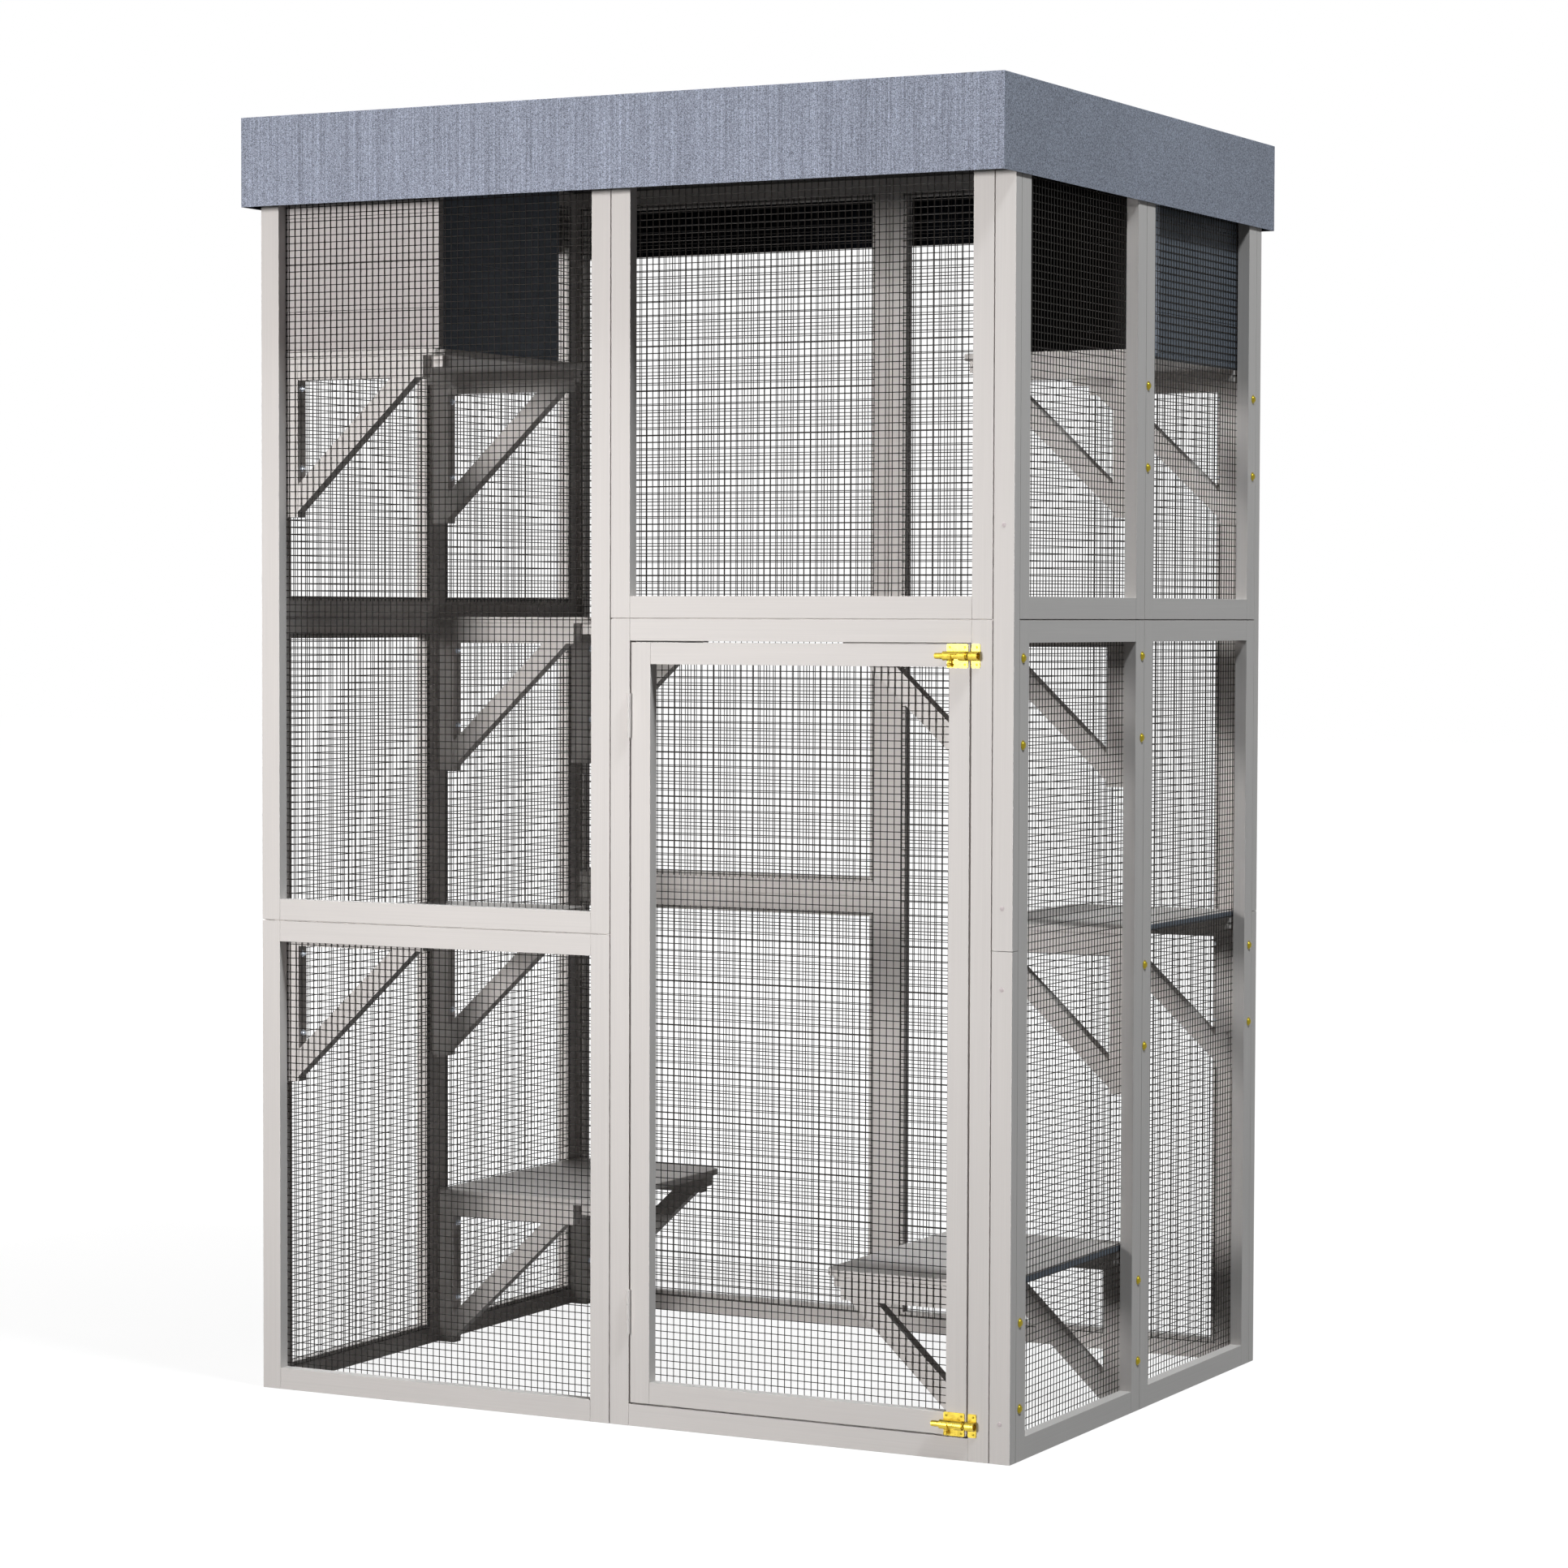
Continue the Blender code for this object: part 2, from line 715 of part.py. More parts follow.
def nest_shape():
    """A nest box of boards laid in courses, closed at its outer end, sides and top, and open at the other.

    The wall's face is at X zero, the seat at Z zero, and the outer end at Y zero.
    """
    left = board_wall_gap
    right = board_free_edge
    core_top = nest_height - groove_depth
    core = new_box((left + groove_depth, groove_depth, 0), (right - groove_depth, nest_length, core_top))
    courses = []
    bottom = 0
    seam_height = nest_course_height - board_thickness
    while bottom < nest_height:
        top = min(seam_height, nest_height)
        if nest_height - top < nest_course_height / 2:
            top = nest_height
        course_top = top if top == nest_height else top - groove_width
        courses.append(new_box((left, 0, bottom), (right, nest_length - joint_reveal, course_top)))
        bottom = top
        seam_height += nest_course_height
    box = fuse([core] + courses)
    inside = new_box(
        (left + nest_wall, nest_wall, -cut_overrun),
        (right - nest_wall, nest_length + cut_overrun, nest_height - nest_wall),
    )
    return cut(box, [inside])


def platforms():
    """Four platforms on the left wall, and the same four turned half round on the right wall."""
    bracket = bracket_shape()
    board = board_shape()
    nest = nest_shape()
    half_turn = math.radians(180)
    bracket_y = board_length / 2 - bracket_thickness / 2
    for item, finish in ((bracket, "paint"), (board, "paint"), (nest, "paint")):
        item.data.materials.clear()
        item.data.materials.append(materials[finish])
    for side, turn in (("left", 0), ("right", half_turn)):
        spin = Matrix.Rotation(turn, 3, "Z")
        for level_name, level in platform_levels.items():
            centre_y = board_centre_y if level_name in front_half_levels else -board_centre_y
            outward = -1 if level_name in front_half_levels else 1
            place = f"{side}_{level_name}"
            spot = spin @ Vector((-wall_face, centre_y, level))
            copy_part(board, f"board_{place}", spot, turn)
            for part_name, shift in (("end", outward * bracket_y), ("mid", -outward * bracket_y)):
                spot = spin @ Vector((seam - wall_face, centre_y + shift, level - seam))
                copy_part(bracket, f"bracket_{place}_{part_name}", spot, turn)
        outer_end = board_centre_y - board_length / 2
        copy_part(nest, f"nest_{side}", spin @ Vector((-wall_face, outer_end, nest_seat)), turn)
    for item in (bracket, board, nest):
        bpy.data.objects.remove(item, do_unlink=True)


def build():
    global parts_collection
    clear_scene()
    parts_collection = bpy.data.collections.new("outdoor_cat_enclosure")
    bpy.context.scene.collection.children.link(parts_collection)
    make_materials()
    end_wall_frames("front", -half_depth, True)
    end_wall_frames("back", half_depth - lumber_thickness, False)
    side_wall_frames("left", -wall_face)
    side_wall_frames("right", half_width)
    corner_posts()
    roof()
    all_netting()
    for name, bottom in hinge_bottoms().items():
        fixed_hinge_leaf(f"{name}_hinge_leaf", bottom)
    door_axis = door()
    barrel_bolt("upper", door_top - bolt_plate_height / 2, door_axis)
    barrel_bolt("lower", door_bottom + bolt_plate_height / 2, door_axis)
    platforms()


build()
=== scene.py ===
"""Outdoor cat enclosure: painted timber, black wire netting, a cloth roof cover and brass fittings."""
import json
import math

import bmesh
import bpy
from bpy.props import FloatProperty, FloatVectorProperty, IntProperty, PointerProperty
from mathutils import Matrix, Vector


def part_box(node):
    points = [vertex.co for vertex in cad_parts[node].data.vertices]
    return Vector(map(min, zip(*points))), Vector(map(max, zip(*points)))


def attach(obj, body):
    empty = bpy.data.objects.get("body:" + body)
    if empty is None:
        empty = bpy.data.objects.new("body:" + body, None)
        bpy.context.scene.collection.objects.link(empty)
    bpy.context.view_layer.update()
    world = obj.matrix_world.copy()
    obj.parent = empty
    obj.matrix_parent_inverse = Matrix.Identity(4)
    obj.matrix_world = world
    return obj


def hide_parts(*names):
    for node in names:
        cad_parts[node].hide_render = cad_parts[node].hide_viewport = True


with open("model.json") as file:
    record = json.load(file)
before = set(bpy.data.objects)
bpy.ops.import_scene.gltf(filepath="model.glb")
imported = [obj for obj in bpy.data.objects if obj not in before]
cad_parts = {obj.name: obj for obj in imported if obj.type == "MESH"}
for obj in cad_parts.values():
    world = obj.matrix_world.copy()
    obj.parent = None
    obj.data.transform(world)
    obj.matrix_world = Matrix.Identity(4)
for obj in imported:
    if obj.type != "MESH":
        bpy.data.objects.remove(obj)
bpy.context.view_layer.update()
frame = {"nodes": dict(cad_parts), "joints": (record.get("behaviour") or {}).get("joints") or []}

bl_info = {
    "name": "Outdoor Cat Enclosure",
    "version": (1, 0, 0),
    "blender": (4, 5, 0),
    "location": "3D View > Sidebar > Cat Enclosure",
    "description": "Builds the visible pieces of an outdoor cat enclosure round its packed frame",
    "category": "Add Mesh",
}

ROOT = "enclosure"
DOOR = "door"
SIDES = ("left", "right")
LEVELS = ("top", "high", "middle", "low")
HINGE_LEAVES = ("upper_hinge_leaf", "lower_hinge_leaf")


# Settings


def measure(name, description, default, unit="LENGTH"):
    return FloatProperty(name=name, description=description, default=default, unit=unit)


def share(name, description, default):
    return FloatProperty(name=name, description=description, default=default, subtype="FACTOR")


def colour_value(name, description, default):
    return FloatVectorProperty(name=name, description=description, default=default, subtype="COLOR")


class TimberSettings(bpy.types.PropertyGroup):
    member_width: measure("Member width", "Face width of every stile and rail", 0.030)
    joint_gap: measure("Frame gap", "Dark line between two frames", 0.0012)
    butt_gap: measure("Butt gap", "Fine line between a rail and its stile", 0.0004)
    door_trim: measure("Door trim", "Planed off each side edge of the door", 0.0004)
    rail_set_back: measure("Rail set-back", "How far a rail's face lies behind its stile's", 0.00015)
    eased_edge: measure("Eased edge", "Sanded rounding of the arrises", 0.0003)
    paint: colour_value("Paint", "Warm light grey satin paint", (0.690, 0.655, 0.636))
    cap: colour_value("Caps", "Paint of the screw caps in the corner posts", (0.620, 0.550, 0.558))
    # Painted shade: the nests' end boards get a deeper grey than the timber, for the shade behind the netting.
    nest_end: colour_value("Nest ends", "Deeper grey on the ends of the nests", (0.530, 0.492, 0.486))
    # Painted shade: the nests' sides and the boards' ends at the wall are dark blue-grey, for the shade inside
    # the enclosure.
    blue_grey_shade: colour_value("Nest sides", "Blue-grey paint on the sides of the nests", (0.158, 0.182, 0.220))
    # Painted shade: the inside of the nests is black, for the shade in the boxes.
    nest_inside_shade: colour_value("Nest inside", "Black stain inside the nests", (0.016, 0.016, 0.017))


class NettingSettings(bpy.types.PropertyGroup):
    pitch: measure("Pitch", "Side of one square mesh", 0.010)
    wire_thickness: measure("Wire", "Coated wire's diameter", 0.0012)
    overlap: measure("Overlap", "How far the cut ends reach over the timber", 0.0065)
    wire_sides: IntProperty(name="Sides", description="Sides of a wire's section", default=6)
    coating: colour_value("Coating", "Black plastic coating", (0.013, 0.010, 0.008))


class RoofSettings(bpy.types.PropertyGroup):
    edge_round: measure("Fold", "Rounding of the cloth's folds", 0.0012)
    cloth_thickness: measure("Cloth", "Thickness of the facing cloth", 0.0009)
    side_threads: share("Side threads", "How strongly the threads show on the end valances", 0.28)
    cloth: colour_value("Cloth colour", "Blue-grey woven cloth", (0.290, 0.315, 0.392))
    # Painted shade: the cloth's inner side is near black, for the shade under the roof.
    lining: colour_value("Lining", "Dark back of the cloth", (0.006, 0.008, 0.012))
    # Painted shade: the deck is near black, for the shade under the roof.
    deck: colour_value("Deck", "Dark stain of the board under the cover", (0.030, 0.028, 0.027))


class PlatformSettings(bpy.types.PropertyGroup):
    board_thickness: measure("Board", "Thickness of a platform board", 0.009)
    corner_radius: measure("Corner", "Radius of the aisle-side corners", 0.025)
    cleat_width: measure("Cleat", "Width of a cleat under a board", 0.016)
    brace_width: measure("Brace", "Width of the slanting brace", 0.028)
    nest_wall: measure("Nest wall", "Thickness of the nest's boards", 0.010)
    course_height: measure("Course", "Height of one board of the nest", 0.0657)


class FittingSettings(bpy.types.PropertyGroup):
    dome_radius: measure("Bolt head", "Radius of a coach bolt's domed head", 0.0054)
    cap_radius: measure("Screw cap", "Radius of a corner post's screw cap", 0.0032)
    cap_height: measure("Cap height", "How far a screw cap stands out", 0.0004)
    screw_radius: measure("Screw", "Radius of a plate screw's head", 0.0016)
    brass: colour_value("Brass", "Bright yellow brass plating", (0.660, 0.490, 0.070))
    bolt_head: colour_value("Bolt head colour", "Yellow zinc of the coach bolts", (0.255, 0.200, 0.018))
    # Painted shade: the collar is near black, so that a dark rim shows round each head.
    rim: colour_value("Rim", "Dark zinc of the collar round a coach bolt's head", (0.022, 0.018, 0.007))
    nut: colour_value("Nut", "Bright zinc of the washers and nuts", (0.62, 0.66, 0.72))


class StageSettings(bpy.types.PropertyGroup):
    front: measure("Front", "Power of the soft box in front", 33.0, "POWER")
    right: measure("Right", "Power of the soft box high on the right", 852.0, "POWER")
    back: measure("Back", "Power of the soft box behind on the left", 220.0, "POWER")
    sky: share("Sky", "Even light from all round", 0.022)
    floor_tone: share("Floor", "How much light the floor gives back", 0.14)
    floor_glow: share("Floor glow", "What makes the floor white to the eye", 0.92)


GROUPS = {
    "enclosure_timber": TimberSettings,
    "enclosure_netting": NettingSettings,
    "enclosure_roof": RoofSettings,
    "enclosure_platforms": PlatformSettings,
    "enclosure_fittings": FittingSettings,
    "enclosure_stage": StageSettings,
}


# Modelling


def corners(node):
    """The low and high corners of a CAD node's box."""
    return tuple(Vector(corner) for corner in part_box(node))


def deselect_all():
    if bpy.context.mode != "OBJECT":
        bpy.ops.object.mode_set(mode="OBJECT")
    bpy.ops.object.select_all(action="DESELECT")


def only(item):
    """Select one object and nothing else."""
    deselect_all()
    item.select_set(True)
    bpy.context.view_layer.objects.active = item
    return item


def settle():
    """Put the selected object's place, turn and scale into its mesh."""
    bpy.ops.object.transform_apply(location=True, rotation=True, scale=True)
    return bpy.context.object


def block(low, high):
    """A closed block between two corners."""
    deselect_all()
    low = Vector(low)
    high = Vector(high)
    bpy.ops.mesh.primitive_cube_add(size=1.0, location=(low + high) / 2, scale=high - low)
    return settle()


def round_bar(start, end, radius, sides):
    """A closed round bar from one point to another."""
    deselect_all()
    start = Vector(start)
    end = Vector(end)
    turn = (end - start).to_track_quat("Z", "Y").to_euler()
    bpy.ops.mesh.primitive_cylinder_add(
        vertices=sides, radius=radius, depth=(end - start).length, location=(start + end) / 2, rotation=turn)
    return settle()


def edit(item, operator, kind="EDGE", chosen=None, **values):
    """Run one mesh operator on the chosen edges or faces, or on all of them."""
    only(item)
    bpy.ops.object.mode_set(mode="EDIT")
    bpy.ops.mesh.select_mode(type=kind)
    bpy.ops.mesh.select_all(action="DESELECT" if chosen else "SELECT")
    if chosen:
        shape = bmesh.from_edit_mesh(item.data)
        for part in shape.edges if kind == "EDGE" else shape.faces:
            part.select_set(chosen(part))
        bmesh.update_edit_mesh(item.data)
    operator(**values)
    bpy.ops.object.mode_set(mode="OBJECT")
    return item


def round_edges(item, width, steps=2, chosen=None):
    """Round all edges, or those whose two ends are as chosen."""
    picked = chosen and (lambda edge: chosen(edge.verts[0].co, edge.verts[1].co))
    return edit(item, bpy.ops.mesh.bevel, "EDGE", picked, offset=width, segments=steps,
                affect="EDGES", profile=0.5)


def bisect(item, point, normal):
    """Cut off what lies beyond a plane and close the cut."""
    return edit(item, bpy.ops.mesh.bisect, plane_co=point, plane_no=normal, use_fill=True, clear_outer=True)


def modified(item, kind, **values):
    """Give one object a modifier and apply it."""
    only(item)
    modifier = item.modifiers.new(kind.lower(), kind)
    for name, value in values.items():
        setattr(modifier, name, value)
    bpy.ops.object.modifier_apply(modifier=modifier.name)
    return item


# How far each board's grain starts from the last one's, along and across it.
GRAIN_STEPS = (0.731, 0.417)


def lay_grain(item, along, number):
    """A UV map in metres whose U runs with the grain. Each board starts at its own place in it."""
    mesh = item.data
    while mesh.uv_layers:
        mesh.uv_layers.remove(mesh.uv_layers[0])
    layer = mesh.uv_layers.new(name="grain")
    across = [axis for axis in range(3) if axis != along]
    shift = Vector([number * step for step in GRAIN_STEPS])
    for face in mesh.polygons:
        for corner in face.loop_indices:
            place = mesh.vertices[mesh.loops[corner].vertex_index].co
            layer.data[corner].uv = Vector((place[along], place[across[0]] + place[across[1]])) + shift
    return item


member_count = 0


def member(low, high, along):
    """One length of timber with eased edges and its grain along an axis."""
    global member_count
    member_count += 1
    item = round_edges(block(low, high), bpy.context.scene.enclosure_timber.eased_edge)
    return lay_grain(item, along, member_count)


def rename(item, name):
    item.name = name
    item.data.name = name
    return item


def join(items, name):
    """Several meshes as one named object."""
    deselect_all()
    for item in items:
        item.select_set(True)
    bpy.context.view_layer.objects.active = items[0]
    if len(items) > 1:
        bpy.ops.object.join()
    return rename(bpy.context.object, name)


def copied(source, name, matrix):
    """A copy with its own mesh, moved inside the mesh."""
    item = source.copy()
    item.data = source.data.copy()
    item.data.transform(matrix)
    bpy.context.collection.objects.link(item)
    return rename(item, name)


def remove(item):
    bpy.data.objects.remove(item, do_unlink=True)


def smooth(item, degrees=35):
    only(item)
    bpy.ops.object.shade_smooth_by_angle(angle=math.radians(degrees))
    return item


def flat_faced(item):
    """Smooth only the small edge faces, so that the broad faces look flat."""
    return modified(smooth(item, degrees=50), "WEIGHTED_NORMAL", mode="FACE_AREA", weight=100, keep_sharp=True)


def finish_piece(item, body, coats, nodes=()):
    """Material or materials, body and the CAD nodes that the piece stands for."""
    coats = coats if isinstance(coats, list) else [coats]
    numbers = [face.material_index for face in item.data.polygons] if len(coats) > 1 else None
    item.data.materials.clear()
    for coat in coats:
        item.data.materials.append(coat)
    if numbers:
        for face, number in zip(item.data.polygons, numbers):
            face.material_index = number
    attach(item, body)
    if nodes:
        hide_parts(*nodes)


def repaint(nodes, material):
    """Give CAD nodes that are shown as they are their material."""
    for node in nodes:
        item = frame["nodes"][node]
        item.data.materials.clear()
        item.data.materials.append(materials[material])


# Finishes

NODE_SPACING = 60


class Nodes:
    """Short ways to add and join the nodes of one tree."""

    def __init__(self, tree):
        self.tree = tree

    def add(self, kind, inputs=None, **values):
        """A node with its inputs, each a value or another node's output."""
        node = self.tree.nodes.new(kind)
        node.location = (NODE_SPACING * len(self.tree.nodes), 0)
        for name, value in values.items():
            setattr(node, name, value)
        for name, value in (inputs or {}).items():
            self.feed(value, node.inputs[name])
        return node

    def feed(self, value, socket):
        """Join a node's output to a socket, or set the socket to a value."""
        if isinstance(value, bpy.types.NodeSocket):
            self.tree.links.new(value, socket)
        else:
            socket.default_value = value

    def math(self, operation, first, second):
        return self.add("ShaderNodeMath", {0: first, 1: second}, operation=operation).outputs[0]

    def product(self, first, *others):
        for other in others:
            first = self.math("MULTIPLY", first, other)
        return first

    def noise(self, vector, scale, roughness=0.5):
        return self.add("ShaderNodeTexNoise", {
            "Vector": vector, "Scale": scale, "Detail": 3.0, "Roughness": roughness}).outputs["Fac"]

    def span(self, value, low, high, to_low, to_high):
        """Map a value from one span to another, and hold it there."""
        node = self.add("ShaderNodeMapRange", {
            "Value": value, "From Min": low, "From Max": high, "To Min": to_low, "To Max": to_high})
        return node.outputs["Result"]

    def tone(self, value, amount):
        """A value between zero and one made a tone round one."""
        centred = self.product(self.math("SUBTRACT", value, 0.5), 2.0)
        return self.math("ADD", 1.0, self.product(centred, amount))

    def tint(self, colour, tone):
        """A colour made darker or lighter by a tone round one."""
        node = self.add("ShaderNodeVectorMath", {0: tuple(colour), "Scale": tone}, operation="SCALE")
        return node.outputs["Vector"]

    def place(self):
        return self.add("ShaderNodeTexCoord").outputs["Object"]

    def group(self, tree, vector, **values):
        return self.add("ShaderNodeGroup", {"Vector": vector, **values}, node_tree=tree)


def group_tree(name, settings, outputs):
    """A shader node group that takes a vector and some numbers. Gives its nodes, its entry and its exit."""
    tree = bpy.data.node_groups.new(name, "ShaderNodeTree")
    tree.interface.new_socket(name="Vector", in_out="INPUT", socket_type="NodeSocketVector")
    for socket, value in settings.items():
        made = tree.interface.new_socket(name=socket, in_out="INPUT", socket_type="NodeSocketFloat")
        made.default_value = value
    for socket in outputs:
        tree.interface.new_socket(name=socket, in_out="OUTPUT", socket_type="NodeSocketFloat")
    nodes = Nodes(tree)
    return nodes, nodes.add("NodeGroupInput").outputs, nodes.add("NodeGroupOutput").inputs


def streaks_group():
    """Long fine streaks along one direction, as of a brush, a grain or thick threads."""
    nodes, entry, leave = group_tree(
        "streaks", {"Along": 8.0, "Across": 500.0, "Amount": 0.05}, ("Tone", "Height"))
    parts = nodes.add("ShaderNodeSeparateXYZ", {0: entry["Vector"]}).outputs
    scales = {"X": "Along", "Y": "Across", "Z": "Along"}
    drawn_out = nodes.add("ShaderNodeCombineXYZ", {
        axis: nodes.product(parts[axis], entry[scale]) for axis, scale in scales.items()})
    streaks = nodes.noise(drawn_out.outputs[0], 1.0, 0.6)
    nodes.feed(nodes.tone(streaks, entry["Amount"]), leave["Tone"])
    nodes.feed(streaks, leave["Height"])
    return nodes.tree


def cloudy_group():
    """Soft uneven tone and sheen from place to place."""
    nodes, entry, leave = group_tree("cloudy_tone", {"Size": 6.0, "Amount": 0.03}, ("Tone", "Cloud"))
    cloud = nodes.noise(entry["Vector"], entry["Size"])
    nodes.feed(nodes.tone(cloud, entry["Amount"]), leave["Tone"])
    nodes.feed(cloud, leave["Cloud"])
    return nodes.tree


def new_material(name, settings):
    """A material with its Principled shader's settings, its nodes and the shader's sockets."""
    material = bpy.data.materials.new(name)
    material.use_nodes = True
    sockets = material.node_tree.nodes["Principled BSDF"].inputs
    for socket, value in settings.items():
        sockets[socket].default_value = value
    return material, Nodes(material.node_tree), sockets


def uneven_sheen(nodes, sockets, cloud, low, high):
    """Roughness that follows the clouds between two values."""
    nodes.feed(nodes.span(cloud.outputs["Cloud"], 0.3, 0.7, low, high), sockets["Roughness"])


def add_bump(nodes, sockets, height, strength, distance):
    bump = nodes.add("ShaderNodeBump", {"Strength": strength, "Distance": distance, "Height": height})
    nodes.feed(bump.outputs["Normal"], sockets["Normal"])


materials = {}


def make_paint(name, streaks, cloudy, colour):
    """Satin paint on planed timber: faint grain along each board, and a slightly uneven sheen."""
    material, nodes, sockets = new_material(name, {"Specular IOR Level": 0.12})
    grain = nodes.add("ShaderNodeUVMap", uv_map="grain").outputs["UV"]
    fine = nodes.group(streaks, grain, Along=5.0, Across=420.0, Amount=0.055)
    broad = nodes.group(streaks, grain, Along=1.2, Across=70.0, Amount=0.035)
    cloud = nodes.group(cloudy, nodes.place(), Size=5.0, Amount=0.035)
    tone = nodes.product(*(node.outputs["Tone"] for node in (fine, broad, cloud)))
    nodes.feed(nodes.tint(colour, tone), sockets["Base Color"])
    uneven_sheen(nodes, sockets, cloud, 0.48, 0.62)
    add_bump(nodes, sockets, fine.outputs["Height"], strength=0.25, distance=0.0002)
    return material


def make_cloth(streaks, cloudy, colour):
    """Woven roof cloth: thick and thin threads from front to back, a fine weave and a soft fuzz."""
    material, nodes, sockets = new_material("woven_roof_cloth", {
        "Roughness": 0.86, "Specular IOR Level": 0.25, "Sheen Weight": 0.15, "Sheen Roughness": 0.5})
    place = nodes.place()
    quarter = (0.0, 0.0, math.radians(90))
    turned = nodes.add("ShaderNodeMapping", {"Vector": place, "Rotation": quarter}).outputs["Vector"]
    threads = nodes.add("ShaderNodeAttribute", attribute_name="threads").outputs["Fac"]
    slub = nodes.group(streaks, turned, Along=5.0, Across=520.0, Amount=nodes.product(threads, 0.70))
    wide = nodes.group(streaks, turned, Along=1.0, Across=60.0, Amount=nodes.product(threads, 0.12))
    cloud = nodes.group(cloudy, place, Size=9.0, Amount=0.03)
    fineness = nodes.math("ADD", nodes.product(threads, 273.0), 487.0)
    fuzz = nodes.group(cloudy, place, Size=fineness, Amount=1.7)
    tone = nodes.product(*(node.outputs["Tone"] for node in (slub, wide, cloud, fuzz)))
    nodes.feed(nodes.tint(colour, tone), sockets["Base Color"])
    height = nodes.math("ADD", slub.outputs["Height"], fuzz.outputs["Cloud"])
    add_bump(nodes, sockets, height, strength=0.5, distance=0.0004)
    return material


def make_deck(streaks, cloudy, colour):
    """Plain board under the cover, painted near black for the shade under the roof."""
    material, nodes, sockets = new_material(
        "stained_deck_board", {"Roughness": 0.75, "Specular IOR Level": 0.3})
    place = nodes.place()
    grain = nodes.group(streaks, place, Along=6.0, Across=260.0, Amount=0.25)
    cloud = nodes.group(cloudy, place, Size=5.0, Amount=0.08)
    tone = nodes.product(grain.outputs["Tone"], cloud.outputs["Tone"])
    nodes.feed(nodes.tint(colour, tone), sockets["Base Color"])
    add_bump(nodes, sockets, grain.outputs["Height"], strength=0.3, distance=0.0004)
    return material


def make_clouded(name, settings, cloudy, colour, size, amount, sheen=None):
    """A plain finish: clouds of a size and an amount in its colour, and a sheen between two values."""
    material, nodes, sockets = new_material(name, settings)
    cloud = nodes.group(cloudy, nodes.place(), Size=size, Amount=amount)
    nodes.feed(nodes.tint(colour, cloud.outputs["Tone"]), sockets["Base Color"])
    if sheen:
        uneven_sheen(nodes, sockets, cloud, *sheen)
    return material


class ENCLOSURE_OT_finishes(bpy.types.Operator):
    """Make the paint, wire, cloth, board and brass finishes"""

    bl_idname = "enclosure.finishes"
    bl_label = "Finishes"

    def execute(self, context):
        streaks = streaks_group()
        cloudy = cloudy_group()
        timber = context.scene.enclosure_timber
        # Of these, the deeper grey, the blue-grey and the black are painted shade on the nests and the boards'
        # wall ends.
        paints = (
            ("paint", "satin_paint"), ("cap", "cap_paint"), ("nest_end", "deeper_grey_paint"),
            ("blue_grey_shade", "blue_grey_paint"), ("nest_inside_shade", "black_stain"),
        )
        for key, name in paints:
            materials[key] = make_paint(name, streaks, cloudy, getattr(timber, key))
        coating = context.scene.enclosure_netting.coating
        materials["wire"] = make_clouded(
            "black_coated_wire", {"Specular IOR Level": 0.18}, cloudy, coating,
            size=240.0, amount=0.35, sheen=(0.34, 0.52))
        roof = context.scene.enclosure_roof
        materials["cloth"] = make_cloth(streaks, cloudy, roof.cloth)
        dull = {"Roughness": 0.9, "Specular IOR Level": 0.1}
        materials["lining"] = make_clouded(
            "dark_cloth_lining", dull, cloudy, roof.lining, size=300.0, amount=0.25)
        materials["deck"] = make_deck(streaks, cloudy, roof.deck)
        fittings = context.scene.enclosure_fittings
        platings = (
            ("brass", "bright_brass", 0.28), ("bolt_head", "yellow_zinc", 0.30), ("rim", "dark_zinc", 0.45),
            ("nut", "bright_zinc", 0.30),
        )
        for key, name, roughness in platings:
            materials[key] = make_clouded(
                name, {"Metallic": 1.0}, cloudy, getattr(fittings, key),
                size=160.0, amount=0.08, sheen=(roughness * 0.8, roughness * 1.3))
        return {"FINISHED"}


# Timber frames


def wall_point(run, along, across, height):
    """A point along and across a wall. Run is 0 for a wall along X and 1 for one along Y."""
    return (across, along, height) if run else (along, across, height)


def frame_corners(node):
    """The corners of a frame's timber, and the axes along and across its wall."""
    low, high = door_corners() if node == "door_frame" else corners(node)
    run = 0 if high.x - low.x > high.y - low.y else 1
    return low, high, run, 1 - run


